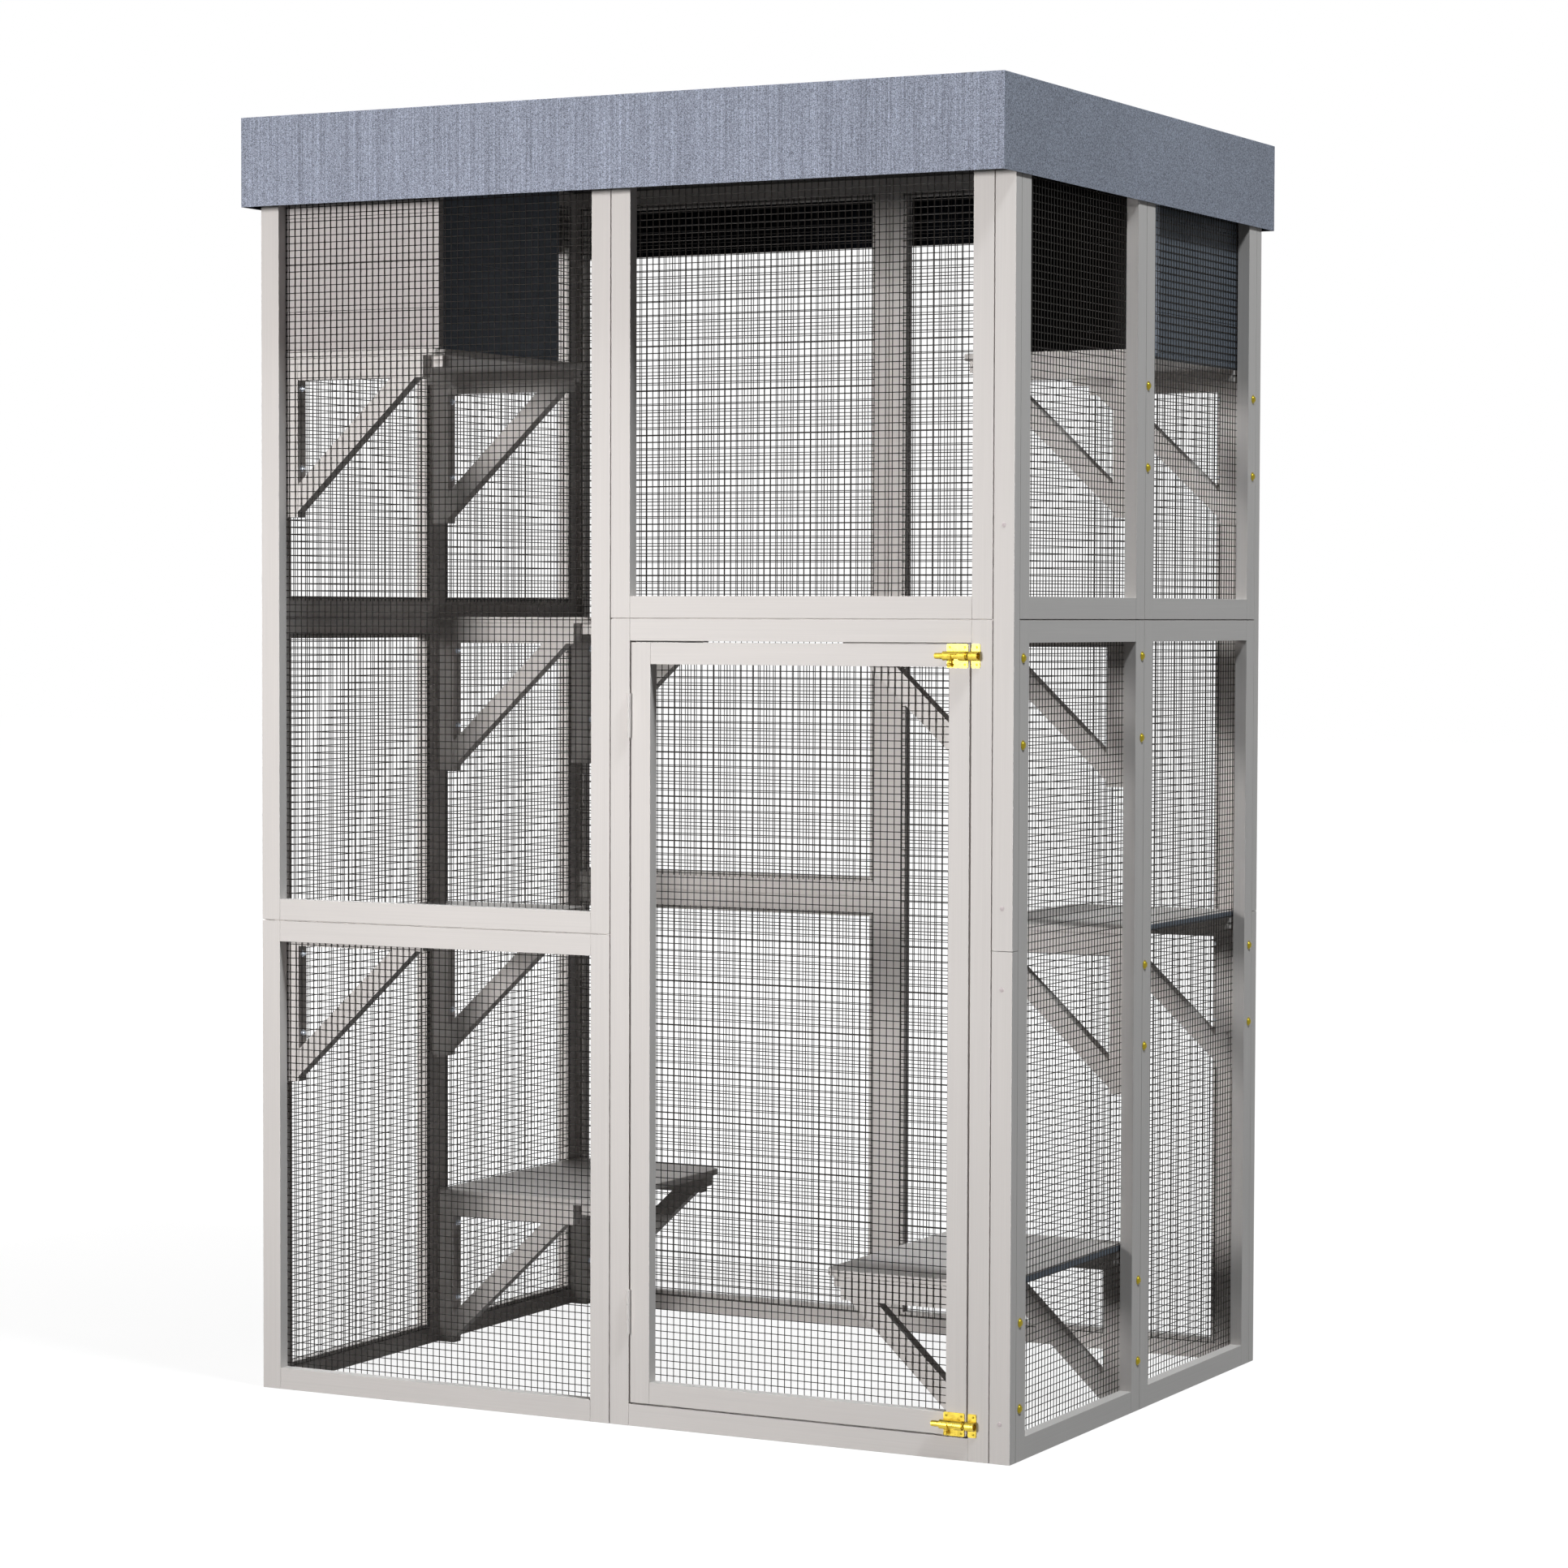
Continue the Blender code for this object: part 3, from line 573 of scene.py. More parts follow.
def frame_members(node, bays):
    """Stiles and rails inside the box of a frame node, with fine dark lines at their joints."""
    timber = bpy.context.scene.enclosure_timber
    low, high, run, flat = frame_corners(node)
    width = timber.member_width
    half_gap = timber.joint_gap / 2
    start = low[run] + half_gap
    end = high[run] - half_gap
    middle = (low[run] + high[run]) / 2
    bottom = low.z + (half_gap if low.z > half_gap else 0)
    top = high.z - half_gap
    stiles = [(start, low[run] + width), (high[run] - width, end)]
    if bays == 2:
        stiles[1:1] = [(middle - width, middle - half_gap), (middle + half_gap, middle + width)]

    def piece(run_low, run_high, z_low, z_high, set_back, along):
        return member(wall_point(run, run_low, low[flat] + set_back, z_low),
                      wall_point(run, run_high, high[flat] - set_back, z_high), along)

    members = [piece(left, right, bottom, top, 0, 2) for left, right in stiles]
    for (_, left), (right, _) in zip(stiles[::2], stiles[1::2]):
        rail = (left + timber.butt_gap / 2, right - timber.butt_gap / 2)
        members.append(piece(*rail, bottom, low.z + width, timber.rail_set_back, run))
        members.append(piece(*rail, high.z - width, top, timber.rail_set_back, run))
    if node == "door_frame":
        return members
    # Strips sunk in the lines between the frames, so that no light shines through them.
    sunk = (high[flat] - low[flat]) / 3
    beyond = half_gap / 4
    upright = (bottom + width / 4, top - width / 4, sunk, 2)
    members.append(piece(start, end, high.z - 2 * half_gap, high.z + beyond, sunk, run))
    if low.z > half_gap:
        members.append(piece(start, end, low.z - beyond, low.z + 2 * half_gap, sunk, run))
    members.append(piece(low[run] - beyond, start + half_gap, *upright))
    members.append(piece(end - half_gap, high[run] + beyond, *upright))
    if bays == 2:
        members.append(piece(middle - 2 * half_gap, middle + 2 * half_gap, *upright))
    return members


def timber_frame(node, body, bays=1, extras=()):
    item = flat_faced(join(frame_members(node, bays) + list(extras), f"{node}_timber"))
    finish_piece(item, body, materials["paint"], [node])


FRONT_FRAMES = (
    "front_left_lower_frame", "front_left_upper_frame", "door_surround", "front_right_upper_frame")
BACK_FRAMES = tuple(f"back_{column}_{row}_frame" for column in SIDES for row in ("lower", "upper"))
SIDE_FRAMES = tuple(f"{side}_{row}_frame" for side in SIDES for row in ("lower", "upper"))


class ENCLOSURE_OT_wall_frames(bpy.types.Operator):
    """Build the stiles and rails of the four walls"""

    bl_idname = "enclosure.wall_frames"
    bl_label = "Wall frames"

    def execute(self, context):
        for node in FRONT_FRAMES + BACK_FRAMES:
            timber_frame(node, ROOT)
        for node in SIDE_FRAMES:
            timber_frame(node, ROOT, bays=2)
        return {"FINISHED"}


class ENCLOSURE_OT_corner_posts(bpy.types.Operator):
    """Build the posts at the right end of the front and back walls, each in two lengths"""

    bl_idname = "enclosure.corner_posts"
    bl_label = "Corner posts"

    def execute(self, context):
        half_gap = context.scene.enclosure_timber.joint_gap / 2
        half_joint = context.scene.enclosure_timber.butt_gap / 2
        low_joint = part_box("front_post_lower")[1][2] - half_joint
        high_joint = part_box("front_post_upper")[0][2] + half_joint
        posts = {"front_post": ("front_post_lower", "front_post_upper"), "back_post": ("back_post",)}
        for name, nodes in posts.items():
            low = corners(nodes[0])[0]
            high = corners(nodes[-1])[1]
            left = low.x + half_gap
            lengths = [
                member((left, low.y, 0), (high.x, high.y, low_joint), 2),
                member((left, low.y, high_joint), (high.x, high.y, high.z - half_gap), 2),
            ]
            item = flat_faced(join(lengths, f"{name}_timber"))
            finish_piece(item, ROOT, materials["paint"], nodes)
        return {"FINISHED"}


# Door


def door_corners():
    """The corners of the door's timber. The CAD node's box also holds its hinge leaves."""
    timber = bpy.context.scene.enclosure_timber
    low, high = corners("door_frame")
    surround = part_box("door_surround")
    gap = high.x - (surround[1][0] - timber.member_width)
    low.x = surround[0][0] + timber.member_width - gap
    low.y = surround[0][1]
    trim = Vector((timber.door_trim, 0, 0))
    return low + trim, high - trim


def hinge_axis():
    for joint in frame["joints"]:
        if joint["name"] == "door_hinge":
            return Vector(joint["pos_m"])
    raise RuntimeError("the frame has no door hinge")


def moving_leaves(door_low):
    """The hinge leaves on the door's edge, each with its middle knuckle."""
    axis = hinge_axis()
    pieces = []
    for node in HINGE_LEAVES:
        low, high = corners(node)
        third = (high.z - low.z) / 3
        radius = axis.y - low.y
        running_gap = radius / 20
        bottom = low.z + third + running_gap
        top = high.z - third - running_gap
        knuckle = round_bar((axis.x, axis.y, bottom), (axis.x, axis.y, top), radius, 24)
        round_edges(knuckle, radius / 12, 1, lambda a, b: abs(a.z - b.z) < running_gap)
        plate_left = axis.x + running_gap
        plate = block((plate_left, door_low.y, low.z), (door_low.x, high.y, high.z))
        tab = block((plate_left, axis.y, bottom), (door_low.x, door_low.y + running_gap, top))
        pieces += [lay_grain(piece, along=2, number=0) for piece in (knuckle, plate, tab)]
    return pieces


class ENCLOSURE_OT_door(bpy.types.Operator):
    """Build the door's stiles and rails with the hinge leaves on its edge"""

    bl_idname = "enclosure.door"
    bl_label = "Door"

    def execute(self, context):
        timber_frame("door_frame", DOOR, extras=moving_leaves(door_corners()[0]))
        repaint(HINGE_LEAVES, "paint")
        return {"FINISHED"}


# Netting

WIRE_CLEARANCE = 0.00005
# How deep the level wires' middle lies, in wire radii: the two layers are welded into each other.
LEVEL_LAYER = 2.3


def wire_row(start, end, count, step):
    """One wire, repeated side by side along a step."""
    netting = bpy.context.scene.enclosure_netting
    wire = round_bar(start, end, netting.wire_thickness / 2, netting.wire_sides)
    return modified(wire, "ARRAY", count=count, use_relative_offset=False, use_constant_offset=True,
                    constant_offset_displace=step)


def frame_sheet(node, half):
    """The netting of one frame, or of one bay of a frame with two: level wires behind upright ones."""
    netting = bpy.context.scene.enclosure_netting
    low, high, run, flat = frame_corners(node)
    reach = bpy.context.scene.enclosure_timber.member_width - netting.overlap
    middle = (low[run] + high[run]) / 2
    start = (middle if half == "back" else low[run]) + reach
    end = (middle if half == "front" else high[run]) - reach
    bottom = low.z + reach
    top = high.z - reach
    inward = 1 if low[flat] + high[flat] < 0 else -1
    outer = high[flat] if inward == 1 else low[flat]
    radius = netting.wire_thickness / 2
    upright_layer = outer + inward * (radius + WIRE_CLEARANCE)
    level_layer = outer + inward * (radius * LEVEL_LAYER + WIRE_CLEARANCE)
    pitch = netting.pitch
    columns = int((end - start) / pitch)
    rows = int((top - bottom) / pitch)
    first_column = start + ((end - start) - columns * pitch) / 2
    first_row = bottom + ((top - bottom) - rows * pitch) / 2
    upright = [wall_point(run, first_column, upright_layer, height) for height in (bottom, top)]
    level = [wall_point(run, along, level_layer, first_row) for along in (start, end)]
    return [wire_row(*upright, columns + 1, wall_point(run, pitch, 0, 0)),
            wire_row(*level, rows + 1, (0, 0, pitch))]


# Each sheet of netting, the half of its frames that it covers, and the frames.
SHEETS = {
    "net_front_left": (None, "front_left_lower_frame", "front_left_upper_frame"),
    "net_front_right": (None, "front_right_upper_frame"),
    "net_back": (None, *BACK_FRAMES),
    **{f"net_{side}_{half}": (half, f"{side}_lower_frame", f"{side}_upper_frame")
       for side in SIDES for half in ("front", "back")},
    "net_door": (None, "door_frame"),
}


class ENCLOSURE_OT_netting(bpy.types.Operator):
    """Build the welded netting of every frame, wire by wire"""

    bl_idname = "enclosure.netting"
    bl_label = "Netting"

    def execute(self, context):
        for node, (half, *covered) in SHEETS.items():
            wires = []
            for frame_node in covered:
                wires += frame_sheet(frame_node, half)
            item = smooth(join(wires, f"{node}_wires"), degrees=50)
            body = DOOR if node == "net_door" else ROOT
            finish_piece(item, body, materials["wire"], [node])
        return {"FINISHED"}


# Roof


class ENCLOSURE_OT_roof(bpy.types.Operator):
    """Build the cloth cover of the roof over its deck, its inner side painted near black for the shade under
    the roof
    """

    bl_idname = "enclosure.roof"
    bl_label = "Roof"

    def execute(self, context):
        roof = context.scene.enclosure_roof
        low, high = corners("roof_cover")
        cover = block(low, high)
        edit(cover, bpy.ops.mesh.delete, "FACE", lambda face: face.normal.z < -0.5, type="FACE")
        round_edges(cover, roof.edge_round, 3, lambda a, b: (a.z + b.z) / 2 > low.z + roof.edge_round)
        cover.data.materials.append(materials["cloth"])
        # The inner side of the solidified cloth takes the near-black painted shade.
        cover.data.materials.append(materials["lining"])
        modified(cover, "SOLIDIFY", thickness=roof.cloth_thickness, offset=-1, use_even_offset=True,
                 material_offset=1)
        flat_faced(rename(cover, "roof_cloth_cover"))
        threads = cover.data.attributes.new("threads", "FLOAT", "CORNER")
        for face in cover.data.polygons:
            for corner in face.loop_indices:
                threads.data[corner].value = roof.side_threads if abs(face.normal.x) > 0.7 else 1.0
        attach(cover, ROOT)
        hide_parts("roof_cover")
        repaint(["roof_deck"], "deck")
        return {"FINISHED"}


# Platforms

CLEAT_SET_BACK = 0.008
CLEAT_CLEARANCE = 0.0003
BRACE_FOOT = 0.008
BRACE_TIP = 0.013
NEST_GAP = 0.0006


def side_turn(side):
    """Pieces are modelled for the left wall, and turned half round for the right one."""
    return Matrix.Rotation(math.radians(180), 4, "Z") if side == "right" else Matrix.Identity(4)


def top_middle(low, high, x):
    """The middle of a box's top, at a given X."""
    return Vector((x, (low.y + high.y) / 2, high.z))


def set_copies(model, kind, places, anchor, coats):
    """Copies of a model at all places of its kind. The anchor is the point of a box that they share."""
    start = anchor(*corners(f"{kind}_left{places[0]}"), "left")
    for side in SIDES:
        for place in places:
            node = f"{kind}_{side}{place}"
            target = anchor(*corners(node), side)
            matrix = Matrix.Translation(target) @ side_turn(side) @ Matrix.Translation(-start)
            finish_piece(copied(model, f"{node}_timber", matrix), ROOT, coats, [node])
    remove(model)


class ENCLOSURE_OT_boards(bpy.types.Operator):
    """Build one platform board with its two cleats, and copy it to every level"""

    bl_idname = "enclosure.boards"
    bl_label = "Platform boards"

    def execute(self, context):
        platforms = context.scene.enclosure_platforms
        low, high = corners("board_left_top")
        underside = high.z - platforms.board_thickness
        aisle = high.x
        slab = block((low.x, low.y, underside), high)
        tiny = platforms.board_thickness / 10
        round_edges(slab, platforms.corner_radius, 10,
                    lambda a, b: abs(a.z - b.z) > tiny and min(a.x, b.x) > aisle - tiny)
        round_edges(slab, tiny, 2, lambda a, b: abs(a.z - b.z) < tiny / 10)
        lay_grain(slab, along=1, number=40)
        middle = (low.y + high.y) / 2
        reach = middle - corners("bracket_left_top_end")[1].y - CLEAT_CLEARANCE
        cleats = []
        for sign in (-1, 1):
            outer = middle + sign * reach
            rows = sorted((outer, outer - sign * platforms.cleat_width))
            cleats.append(member((low.x + CLEAT_CLEARANCE, rows[0], low.z),
                                 (aisle - CLEAT_SET_BACK, rows[1], underside + tiny), 0))
        faces = len(slab.data.polygons)
        model = flat_faced(join([slab] + cleats, "board_model"))
        # The board's end against the wall takes the blue-grey painted shade, as the nests' sides do.
        for face in model.data.polygons[:faces]:
            face.material_index = 1 if face.normal.x < -0.9 else 0
        set_copies(model, "board", [f"_{level}" for level in LEVELS],
                   lambda low, high, side: top_middle(low, high, (low.x + high.x) / 2),
                   [materials["paint"], materials["blue_grey_shade"]])
        return {"FINISHED"}


class ENCLOSURE_OT_brackets(bpy.types.Operator):
    """Build one bracket of leg, arm and brace, and copy it under every board"""

    bl_idname = "enclosure.brackets"
    bl_label = "Brackets"

    def execute(self, context):
        timber = context.scene.enclosure_timber
        platforms = context.scene.enclosure_platforms
        low, high = corners("bracket_left_top_end")
        half_gap = timber.butt_gap / 2
        leg_face = low.x + timber.member_width
        arm_bottom = high.z - timber.member_width
        leg = member(low, (leg_face, high.y, high.z), 2)
        set_back = 2 * timber.rail_set_back
        arm = member((leg_face + half_gap, low.y + set_back, arm_bottom),
                     (high.x, high.y - set_back, high.z), 0)
        foot = Vector((leg_face, 0, low.z + BRACE_FOOT))
        tip = Vector((high.x - BRACE_TIP, 0, arm_bottom))
        lower_edge = tip - foot
        width = platforms.brace_width
        inset = 2 * set_back
        brace = member((-width, low.y + inset, 0), (lower_edge.length + width, high.y - inset, width), 0)
        slope = math.atan2(lower_edge.z, lower_edge.x)
        brace.data.transform(Matrix.Translation(foot) @ Matrix.Rotation(-slope, 4, "Y"))
        bisect(brace, (leg_face + half_gap, 0, 0), (-1, 0, 0))
        bisect(brace, (0, 0, arm_bottom - half_gap), (0, 0, 1))
        model = flat_faced(join([leg, arm, brace], "bracket_model"))
        set_copies(model, "bracket", [f"_{level}_{end}" for level in LEVELS for end in ("end", "mid")],
                   lambda low, high, side: top_middle(low, high, low.x if side == "left" else high.x),
                   materials["paint"])
        return {"FINISHED"}


class ENCLOSURE_OT_nests(bpy.types.Operator):
    """Build the nest boxes from boards laid in courses, open towards the middle"""

    bl_idname = "enclosure.nests"
    bl_label = "Nest boxes"

    def execute(self, context):
        platforms = context.scene.enclosure_platforms
        low, high = corners("nest_left")
        wall = platforms.nest_wall
        lid_bottom = high.z - wall
        seams = [low.z]
        seam = low.z + platforms.course_height - platforms.board_thickness
        while high.z - seam > platforms.course_height / 2:
            seams.append(seam)
            seam += platforms.course_height
        seams.append(lid_bottom)
        boards = []
        for bottom, top in zip(seams[:-1], seams[1:]):
            spans = (
                ((low.x, low.y), (high.x, low.y + wall), 0),
                ((low.x, low.y + wall + NEST_GAP), (low.x + wall, high.y), 1),
                ((high.x - wall, low.y + wall + NEST_GAP), (high.x, high.y), 1),
            )
            for start, end, along in spans:
                boards.append(member((*start, bottom), (*end, top - NEST_GAP), along))
        boards.append(member((low.x, low.y, lid_bottom), high, 1))
        model = flat_faced(join(boards, "nest_model"))
        centre = (low + high) / 2
        reach = (high - low) / 2
        # Painted shade by place: faces inside the box black, the sides and the open rim blue-grey, the end
        # board deeper grey.
        for face in model.data.polygons:
            place = face.center - centre
            covered = abs(place.x) < reach.x - wall / 2 and place.z < reach.z - wall / 2
            inside = covered and place.y > wall / 2 - reach.y
            side = abs(place.x) > reach.x - wall - NEST_GAP and place.y > wall - reach.y
            rim = place.y > reach.y - NEST_GAP
            face.material_index = 2 if inside and not rim else 1 if side or rim else 0
        coats = [materials["nest_end"], materials["blue_grey_shade"], materials["nest_inside_shade"]]
        set_copies(model, "nest", [""], lambda low, high, side: (low + high) / 2, coats)
        return {"FINISHED"}


# Fittings

# Each coach bolt's depth below the top of its bracket, and each screw cap's height.
BOLT_DROPS = (0.0415, 0.1545)
CAP_HEIGHTS = (1.7200, 1.2224, 0.7258, 0.6204, 0.0525)

# Start, end, radius, sides and rounding of a coach bolt's washer, nut and end, outwards from the leg.
BOLT_END = (
    (0.0000, 0.0008, 0.0046, 20, 0.0002),
    (0.0008, 0.0038, 0.0034, 6, 0.0003),
    (0.0038, 0.0054, 0.0020, 12, 0.0004),
)

# Height of a bolt's dome and radius of the collar under it, as shares of the dome's radius.
DOME_SHARE = 0.75
COLLAR_SHARE = 1.22

PLATE_THICKNESS = 0.0012
SCREW_MARGIN = 0.0042

# The body of each kind of plate with screws, and where the plate starts and ends along X.
PLATES = {"bolt_body": (DOOR, 0.4902, 0.5202), "keeper": (ROOT, 0.5253, 0.5373)}


def bolt_head():
    """A coach bolt's dome and collar on the wall's outer face, at X zero."""
    radius = bpy.context.scene.enclosure_fittings.dome_radius
    deselect_all()
    bpy.ops.mesh.primitive_uv_sphere_add(segments=16, ring_count=12, radius=radius)
    dome = bpy.context.object
    dome.scale = (DOME_SHARE, 1.0, 1.0)
    settle()
    bisect(dome, (0, 0, 0), (1, 0, 0))
    collar = round_bar((0, 0, 0), (-radius / 8, 0, 0), radius * COLLAR_SHARE, 24)
    round_edges(collar, radius / 20, 1)
    faces = len(dome.data.polygons)
    head = join([dome, collar], "bolt_head_model")
    for number, face in enumerate(head.data.polygons):
        face.material_index = 0 if number < faces else 1
    return head


def bolt_end():
    """Washer, nut and end of a coach bolt, from X zero towards the aisle."""
    return join([
        round_edges(round_bar((start, 0, 0), (end, 0, 0), radius, sides), rounding, 1)
        for start, end, radius, sides, rounding in BOLT_END], "bolt_end_model")


class ENCLOSURE_OT_coach_bolts(bpy.types.Operator):
    """Set two coach bolts through the stile at every bracket"""

    bl_idname = "enclosure.coach_bolts"
    bl_label = "Coach bolts"

    def execute(self, context):
        leg_width = context.scene.enclosure_timber.member_width
        head = bolt_head()
        end = bolt_end()
        for side in SIDES:
            wall_low, wall_high = corners(f"{side}_lower_frame")
            outer_x = wall_low.x if side == "left" else wall_high.x
            heads = []
            ends = []
            for level in LEVELS:
                for place in ("end", "mid"):
                    low, high = corners(f"bracket_{side}_{level}_{place}")
                    leg_x = low.x + leg_width if side == "left" else high.x - leg_width
                    for drop in BOLT_DROPS:
                        spot = Vector((outer_x, (low.y + high.y) / 2, high.z - drop))
                        heads.append(copied(head, "head", Matrix.Translation(spot) @ side_turn(side)))
                        spot.x = leg_x
                        ends.append(copied(end, "end", Matrix.Translation(spot) @ side_turn(side)))
            item = smooth(join(heads, f"coach_bolt_heads_{side}"), degrees=60)
            # The collar's near-black coat paints the shade of the rim round each dome.
            finish_piece(item, ROOT, [materials["bolt_head"], materials["rim"]])
            item = smooth(join(ends, f"coach_bolt_ends_{side}"), degrees=40)
            finish_piece(item, ROOT, materials["nut"])
        remove(head)
        remove(end)
        return {"FINISHED"}


class ENCLOSURE_OT_screw_caps(bpy.types.Operator):
    """Set the painted screw caps in the corner posts"""

    bl_idname = "enclosure.screw_caps"
    bl_label = "Screw caps"

    def execute(self, context):
        fittings = context.scene.enclosure_fittings
        stand = fittings.cap_height
        root = 2.5 * stand
        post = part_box("front_post_upper")
        x = (post[0][0] + post[1][0]) / 2
        front = post[0][1]
        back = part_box("back_post")[1][1]
        caps = []
        for height in CAP_HEIGHTS:
            for face, out in ((front, -1), (back, 1)):
                cap = round_bar((x, face - out * root, height), (x, face + out * stand, height),
                                fittings.cap_radius, 24)
                caps.append(lay_grain(round_edges(cap, stand / 2, 2), along=2, number=3))
        item = smooth(join(caps, "post_screw_caps"))
        finish_piece(item, ROOT, materials["cap"])
        return {"FINISHED"}


def screw_head():
    """A countersunk head with a cross cut into it, facing forward, with its rim at the origin's level."""
    radius = bpy.context.scene.enclosure_fittings.screw_radius
    depth = radius / 2
    head = round_bar((0, depth / 2, 0), (0, -depth / 2, 0), radius, 24)
    round_edges(head, depth / 3, 2)
    long = radius * 0.62
    short = radius * 0.11
    for wide, high in ((long, short), (short, long)):
        slot = block((-wide, -depth, -high), (wide, -depth * 0.1, high))
        modified(head, "BOOLEAN", object=slot, solver="EXACT")
        remove(slot)
    return head


class ENCLOSURE_OT_barrel_bolts(bpy.types.Operator):
    """Finish the brass barrel bolts and set their screws"""

    bl_idname = "enclosure.barrel_bolts"
    bl_label = "Barrel bolts"

    def execute(self, context):
        for which in ("upper", "lower"):
            repaint((f"{which}_bolt_body", f"{which}_bolt_slide", f"{which}_keeper"), "brass")
        model = screw_head()
        for name, part in (("bolt_plate_screws", "bolt_body"), ("keeper_screws", "keeper")):
            body, left, right = PLATES[part]
            columns = (left + SCREW_MARGIN, right - SCREW_MARGIN) if body == DOOR else (right - SCREW_MARGIN,)
            heads = []
            for which in ("upper", "lower"):
                low, high = corners(f"{which}_{part}")
                face = high.y - PLATE_THICKNESS
                for x in columns:
                    for z in (low.z + SCREW_MARGIN, high.z - SCREW_MARGIN):
                        heads.append(copied(model, "screw", Matrix.Translation((x, face, z))))
            item = smooth(join(heads, name), degrees=30)
            finish_piece(item, body, materials["bolt_head"])
        remove(model)
        return {"FINISHED"}


# Stage

# Turn, place and focal length of the photograph's view.
VIEW_YAW = math.radians(27.4445)
VIEW_PITCH = math.radians(-2.3141)
VIEW_ROLL = math.radians(0.1769)
VIEW_PLACE = (2.8094, -5.3639, 1.1050)
VIEW_LENS = 95.95

# How far from the middle the floor starts to get brighter, and where it is white.
GLOW_REACH = (0.9, 3.0)

# Place, aim, size, spread in degrees and colour of each soft box.
SOFT_BOXES = {
    "front": ((-1.6, -8.5, 1.7), (-0.1, -0.4, 1.1), 1.4, 40, (1.0, 0.99, 0.98)),
    "right": ((5.53, -1.88, 10.13), (0.5, -0.3, 1.0), 1.5, 180, (0.93, 0.98, 1.0)),
    "back": ((-5.4, 5.4, 3.1), (0.0, 0.0, 0.9), 3.0, 180, (1.0, 0.99, 0.98)),
}


def seen_or_mirrored(nodes):
    """One for rays from the camera, a mirror or glass, and zero for the rest."""
    path = nodes.add("ShaderNodeLightPath").outputs
    first = nodes.math("MAXIMUM", path["Is Camera Ray"], path["Is Glossy Ray"])
    return nodes.math("MAXIMUM", first, path["Is Transmission Ray"])


def floor_material(stage):
    """Pale floor: even and white away from the object, and darker where the object shades it."""
    material = bpy.data.materials.new("pale_floor")
    material.use_nodes = True
    material.node_tree.nodes.clear()
    nodes = Nodes(material.node_tree)
    diffuse = nodes.add("ShaderNodeBsdfDiffuse", {"Color": (stage.floor_tone,) * 3 + (1,)})
    reach = nodes.add("ShaderNodeVectorMath", {0: nodes.place()}, operation="LENGTH").outputs["Value"]
    level = nodes.span(reach, *GLOW_REACH, stage.floor_glow, 1.0)
    strength = nodes.product(seen_or_mirrored(nodes), level)
    glow = nodes.add("ShaderNodeEmission", {"Color": (1, 1, 1, 1), "Strength": strength})
    both = nodes.add("ShaderNodeAddShader", {0: diffuse.outputs[0], 1: glow.outputs[0]})
    nodes.add("ShaderNodeOutputMaterial", {"Surface": both.outputs[0]})
    return material


def soft_box(name, energy):
    """A square soft lamp. Its spread narrows the beam, as a grid in front of it would."""
    place, aim, size, spread, colour = SOFT_BOXES[name]
    lamp = bpy.data.lights.new(f"{name}_box", "AREA")
    lamp.energy = energy
    lamp.color = colour
    lamp.shape = "SQUARE"
    lamp.size = size
    lamp.spread = math.radians(spread)
    item = bpy.data.objects.new(f"{name}_box", lamp)
    bpy.context.scene.collection.objects.link(item)
    item.location = place
    item.rotation_euler = (Vector(place) - Vector(aim)).to_track_quat("Z", "Y").to_euler()


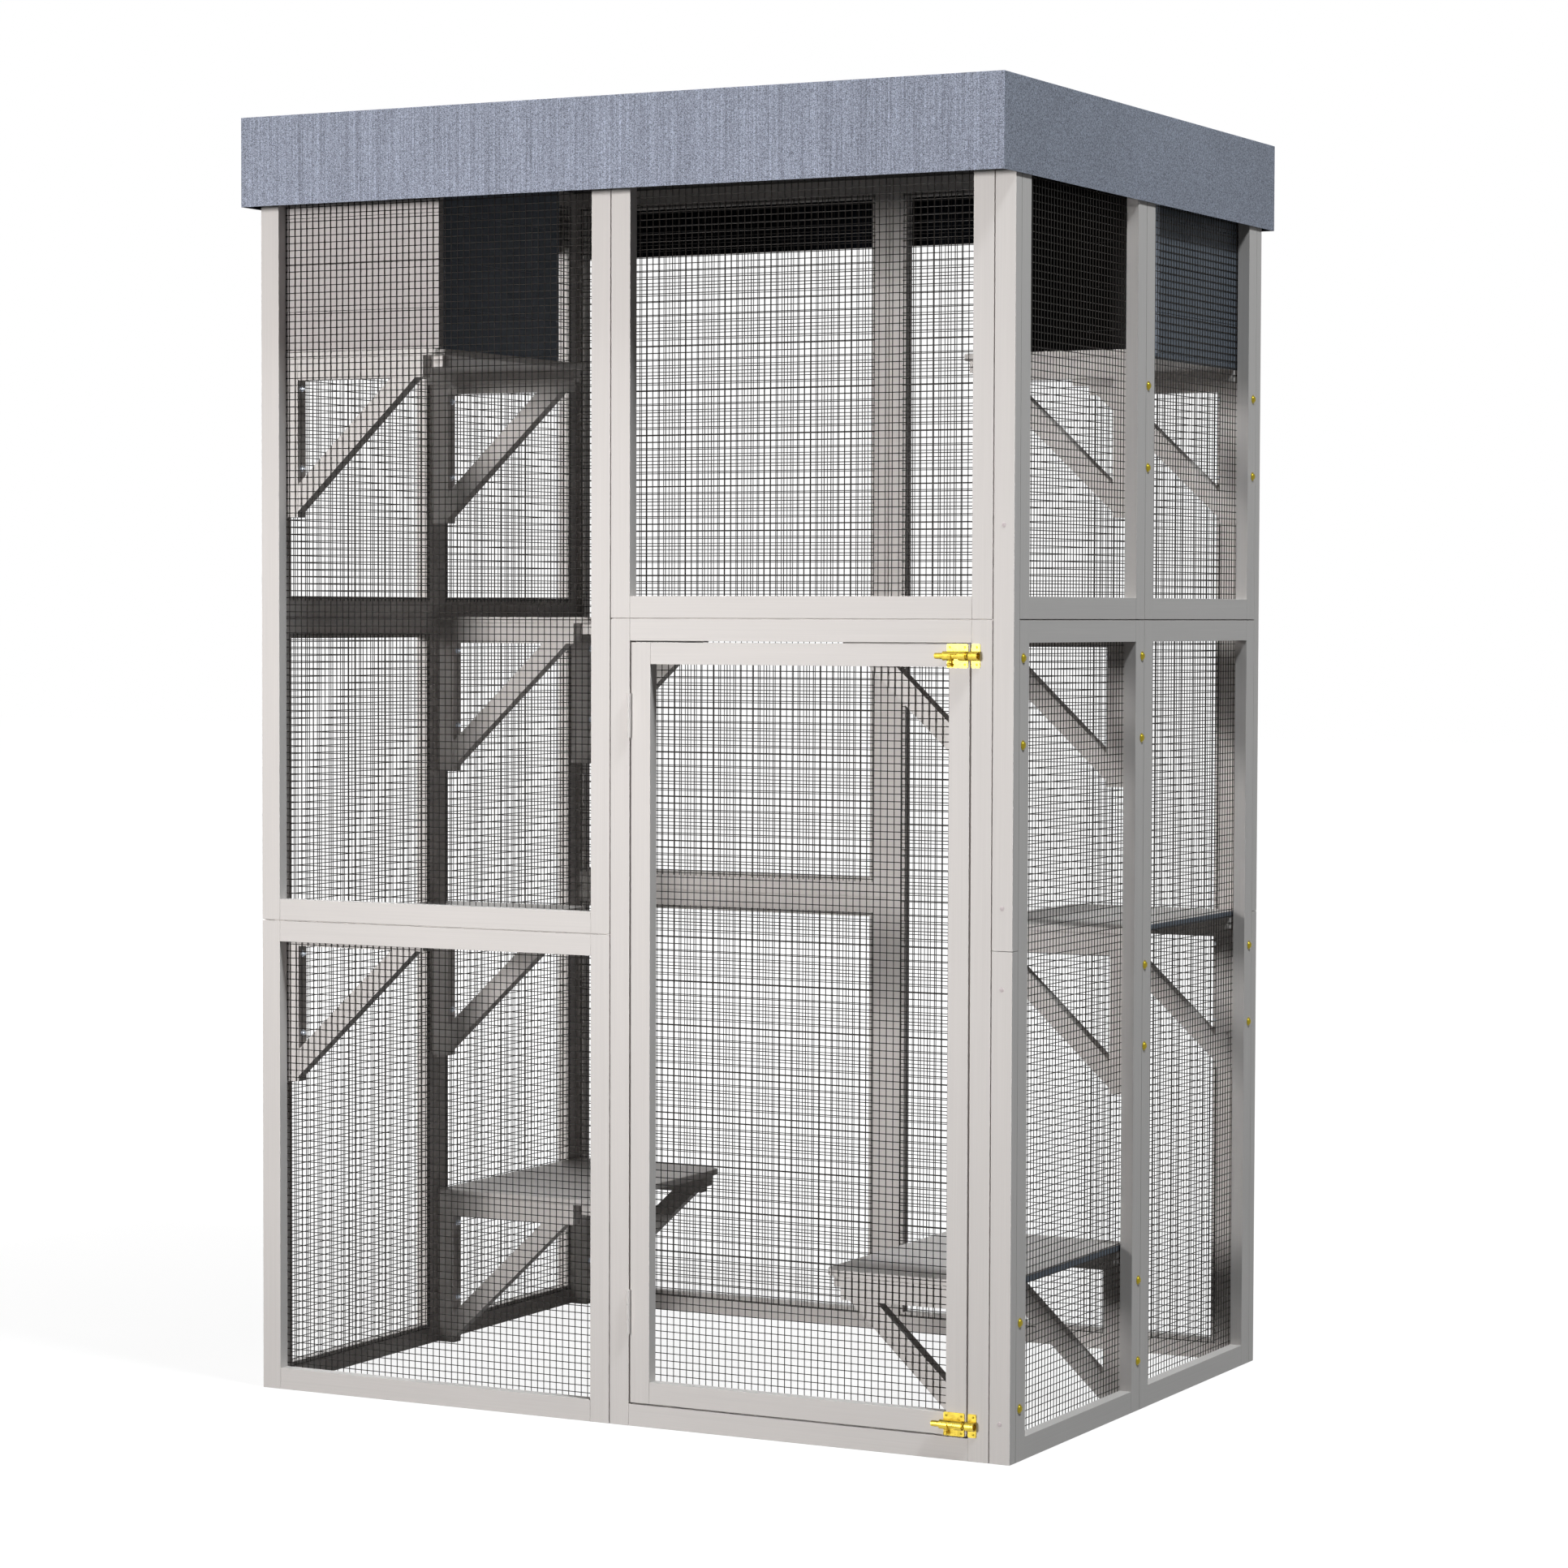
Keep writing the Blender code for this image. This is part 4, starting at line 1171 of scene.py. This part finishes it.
class ENCLOSURE_OT_stage(bpy.types.Operator):
    """Lay the pale floor, hang the soft lamps and set the camera"""

    bl_idname = "enclosure.stage"
    bl_label = "Stage"

    def execute(self, context):
        stage = context.scene.enclosure_stage
        deselect_all()
        bpy.ops.mesh.primitive_plane_add(size=60.0, location=(0, 0, 0))
        floor = bpy.context.object
        floor.name = "floor"
        floor.data.materials.append(floor_material(stage))
        world = bpy.data.worlds.new("studio")
        world.use_nodes = True
        context.scene.world = world
        nodes = Nodes(world.node_tree)
        sky = world.node_tree.nodes["Background"]
        sky.inputs["Color"].default_value = (1, 1, 1, 1)
        strength = nodes.product(seen_or_mirrored(nodes), 1.0 - stage.sky)
        nodes.feed(nodes.math("ADD", strength, stage.sky), sky.inputs["Strength"])
        for name in SOFT_BOXES:
            soft_box(name, getattr(stage, name))
        camera_data = bpy.data.cameras.new("view")
        camera_data.lens = VIEW_LENS
        camera_data.sensor_width = 36.0
        camera = bpy.data.objects.new("view", camera_data)
        context.scene.collection.objects.link(camera)
        forward = Vector((
            -math.sin(VIEW_YAW) * math.cos(VIEW_PITCH), math.cos(VIEW_YAW) * math.cos(VIEW_PITCH),
            math.sin(VIEW_PITCH)))
        right = Vector((math.cos(VIEW_YAW), math.sin(VIEW_YAW), 0))
        up = right.cross(forward)
        side = right * math.cos(VIEW_ROLL) + up * math.sin(VIEW_ROLL)
        above = up * math.cos(VIEW_ROLL) - right * math.sin(VIEW_ROLL)
        turn = Matrix((side, above, -forward)).transposed().to_4x4()
        camera.matrix_world = Matrix.Translation(VIEW_PLACE) @ turn
        context.scene.camera = camera
        context.scene.view_settings.view_transform = "Standard"
        return {"FINISHED"}


# Panel and order

STEPS = (
    ENCLOSURE_OT_finishes,
    ENCLOSURE_OT_wall_frames,
    ENCLOSURE_OT_corner_posts,
    ENCLOSURE_OT_door,
    ENCLOSURE_OT_netting,
    ENCLOSURE_OT_roof,
    ENCLOSURE_OT_boards,
    ENCLOSURE_OT_brackets,
    ENCLOSURE_OT_nests,
    ENCLOSURE_OT_coach_bolts,
    ENCLOSURE_OT_screw_caps,
    ENCLOSURE_OT_barrel_bolts,
    ENCLOSURE_OT_stage,
)


class ENCLOSURE_PT_panel(bpy.types.Panel):
    """The steps and sizes of the cat enclosure"""

    bl_idname = "ENCLOSURE_PT_panel"
    bl_label = "Cat Enclosure"
    bl_space_type = "VIEW_3D"
    bl_region_type = "UI"
    bl_category = "Cat Enclosure"

    def draw(self, context):
        for step in STEPS:
            self.layout.operator(step.bl_idname)
        for name, group in GROUPS.items():
            box = self.layout.box()
            for value in group.__annotations__:
                box.prop(getattr(context.scene, name), value)


def register():
    for name, group in GROUPS.items():
        bpy.utils.register_class(group)
        setattr(bpy.types.Scene, name, PointerProperty(type=group))
    for step in STEPS:
        bpy.utils.register_class(step)
    bpy.utils.register_class(ENCLOSURE_PT_panel)


def unregister():
    bpy.utils.unregister_class(ENCLOSURE_PT_panel)
    for step in reversed(STEPS):
        bpy.utils.unregister_class(step)
    for name, group in GROUPS.items():
        delattr(bpy.types.Scene, name)
        bpy.utils.unregister_class(group)


def main():
    register()
    for step in STEPS:
        group, name = step.bl_idname.split(".")
        getattr(getattr(bpy.ops, group), name)()


if __name__ == "__main__":
    main()
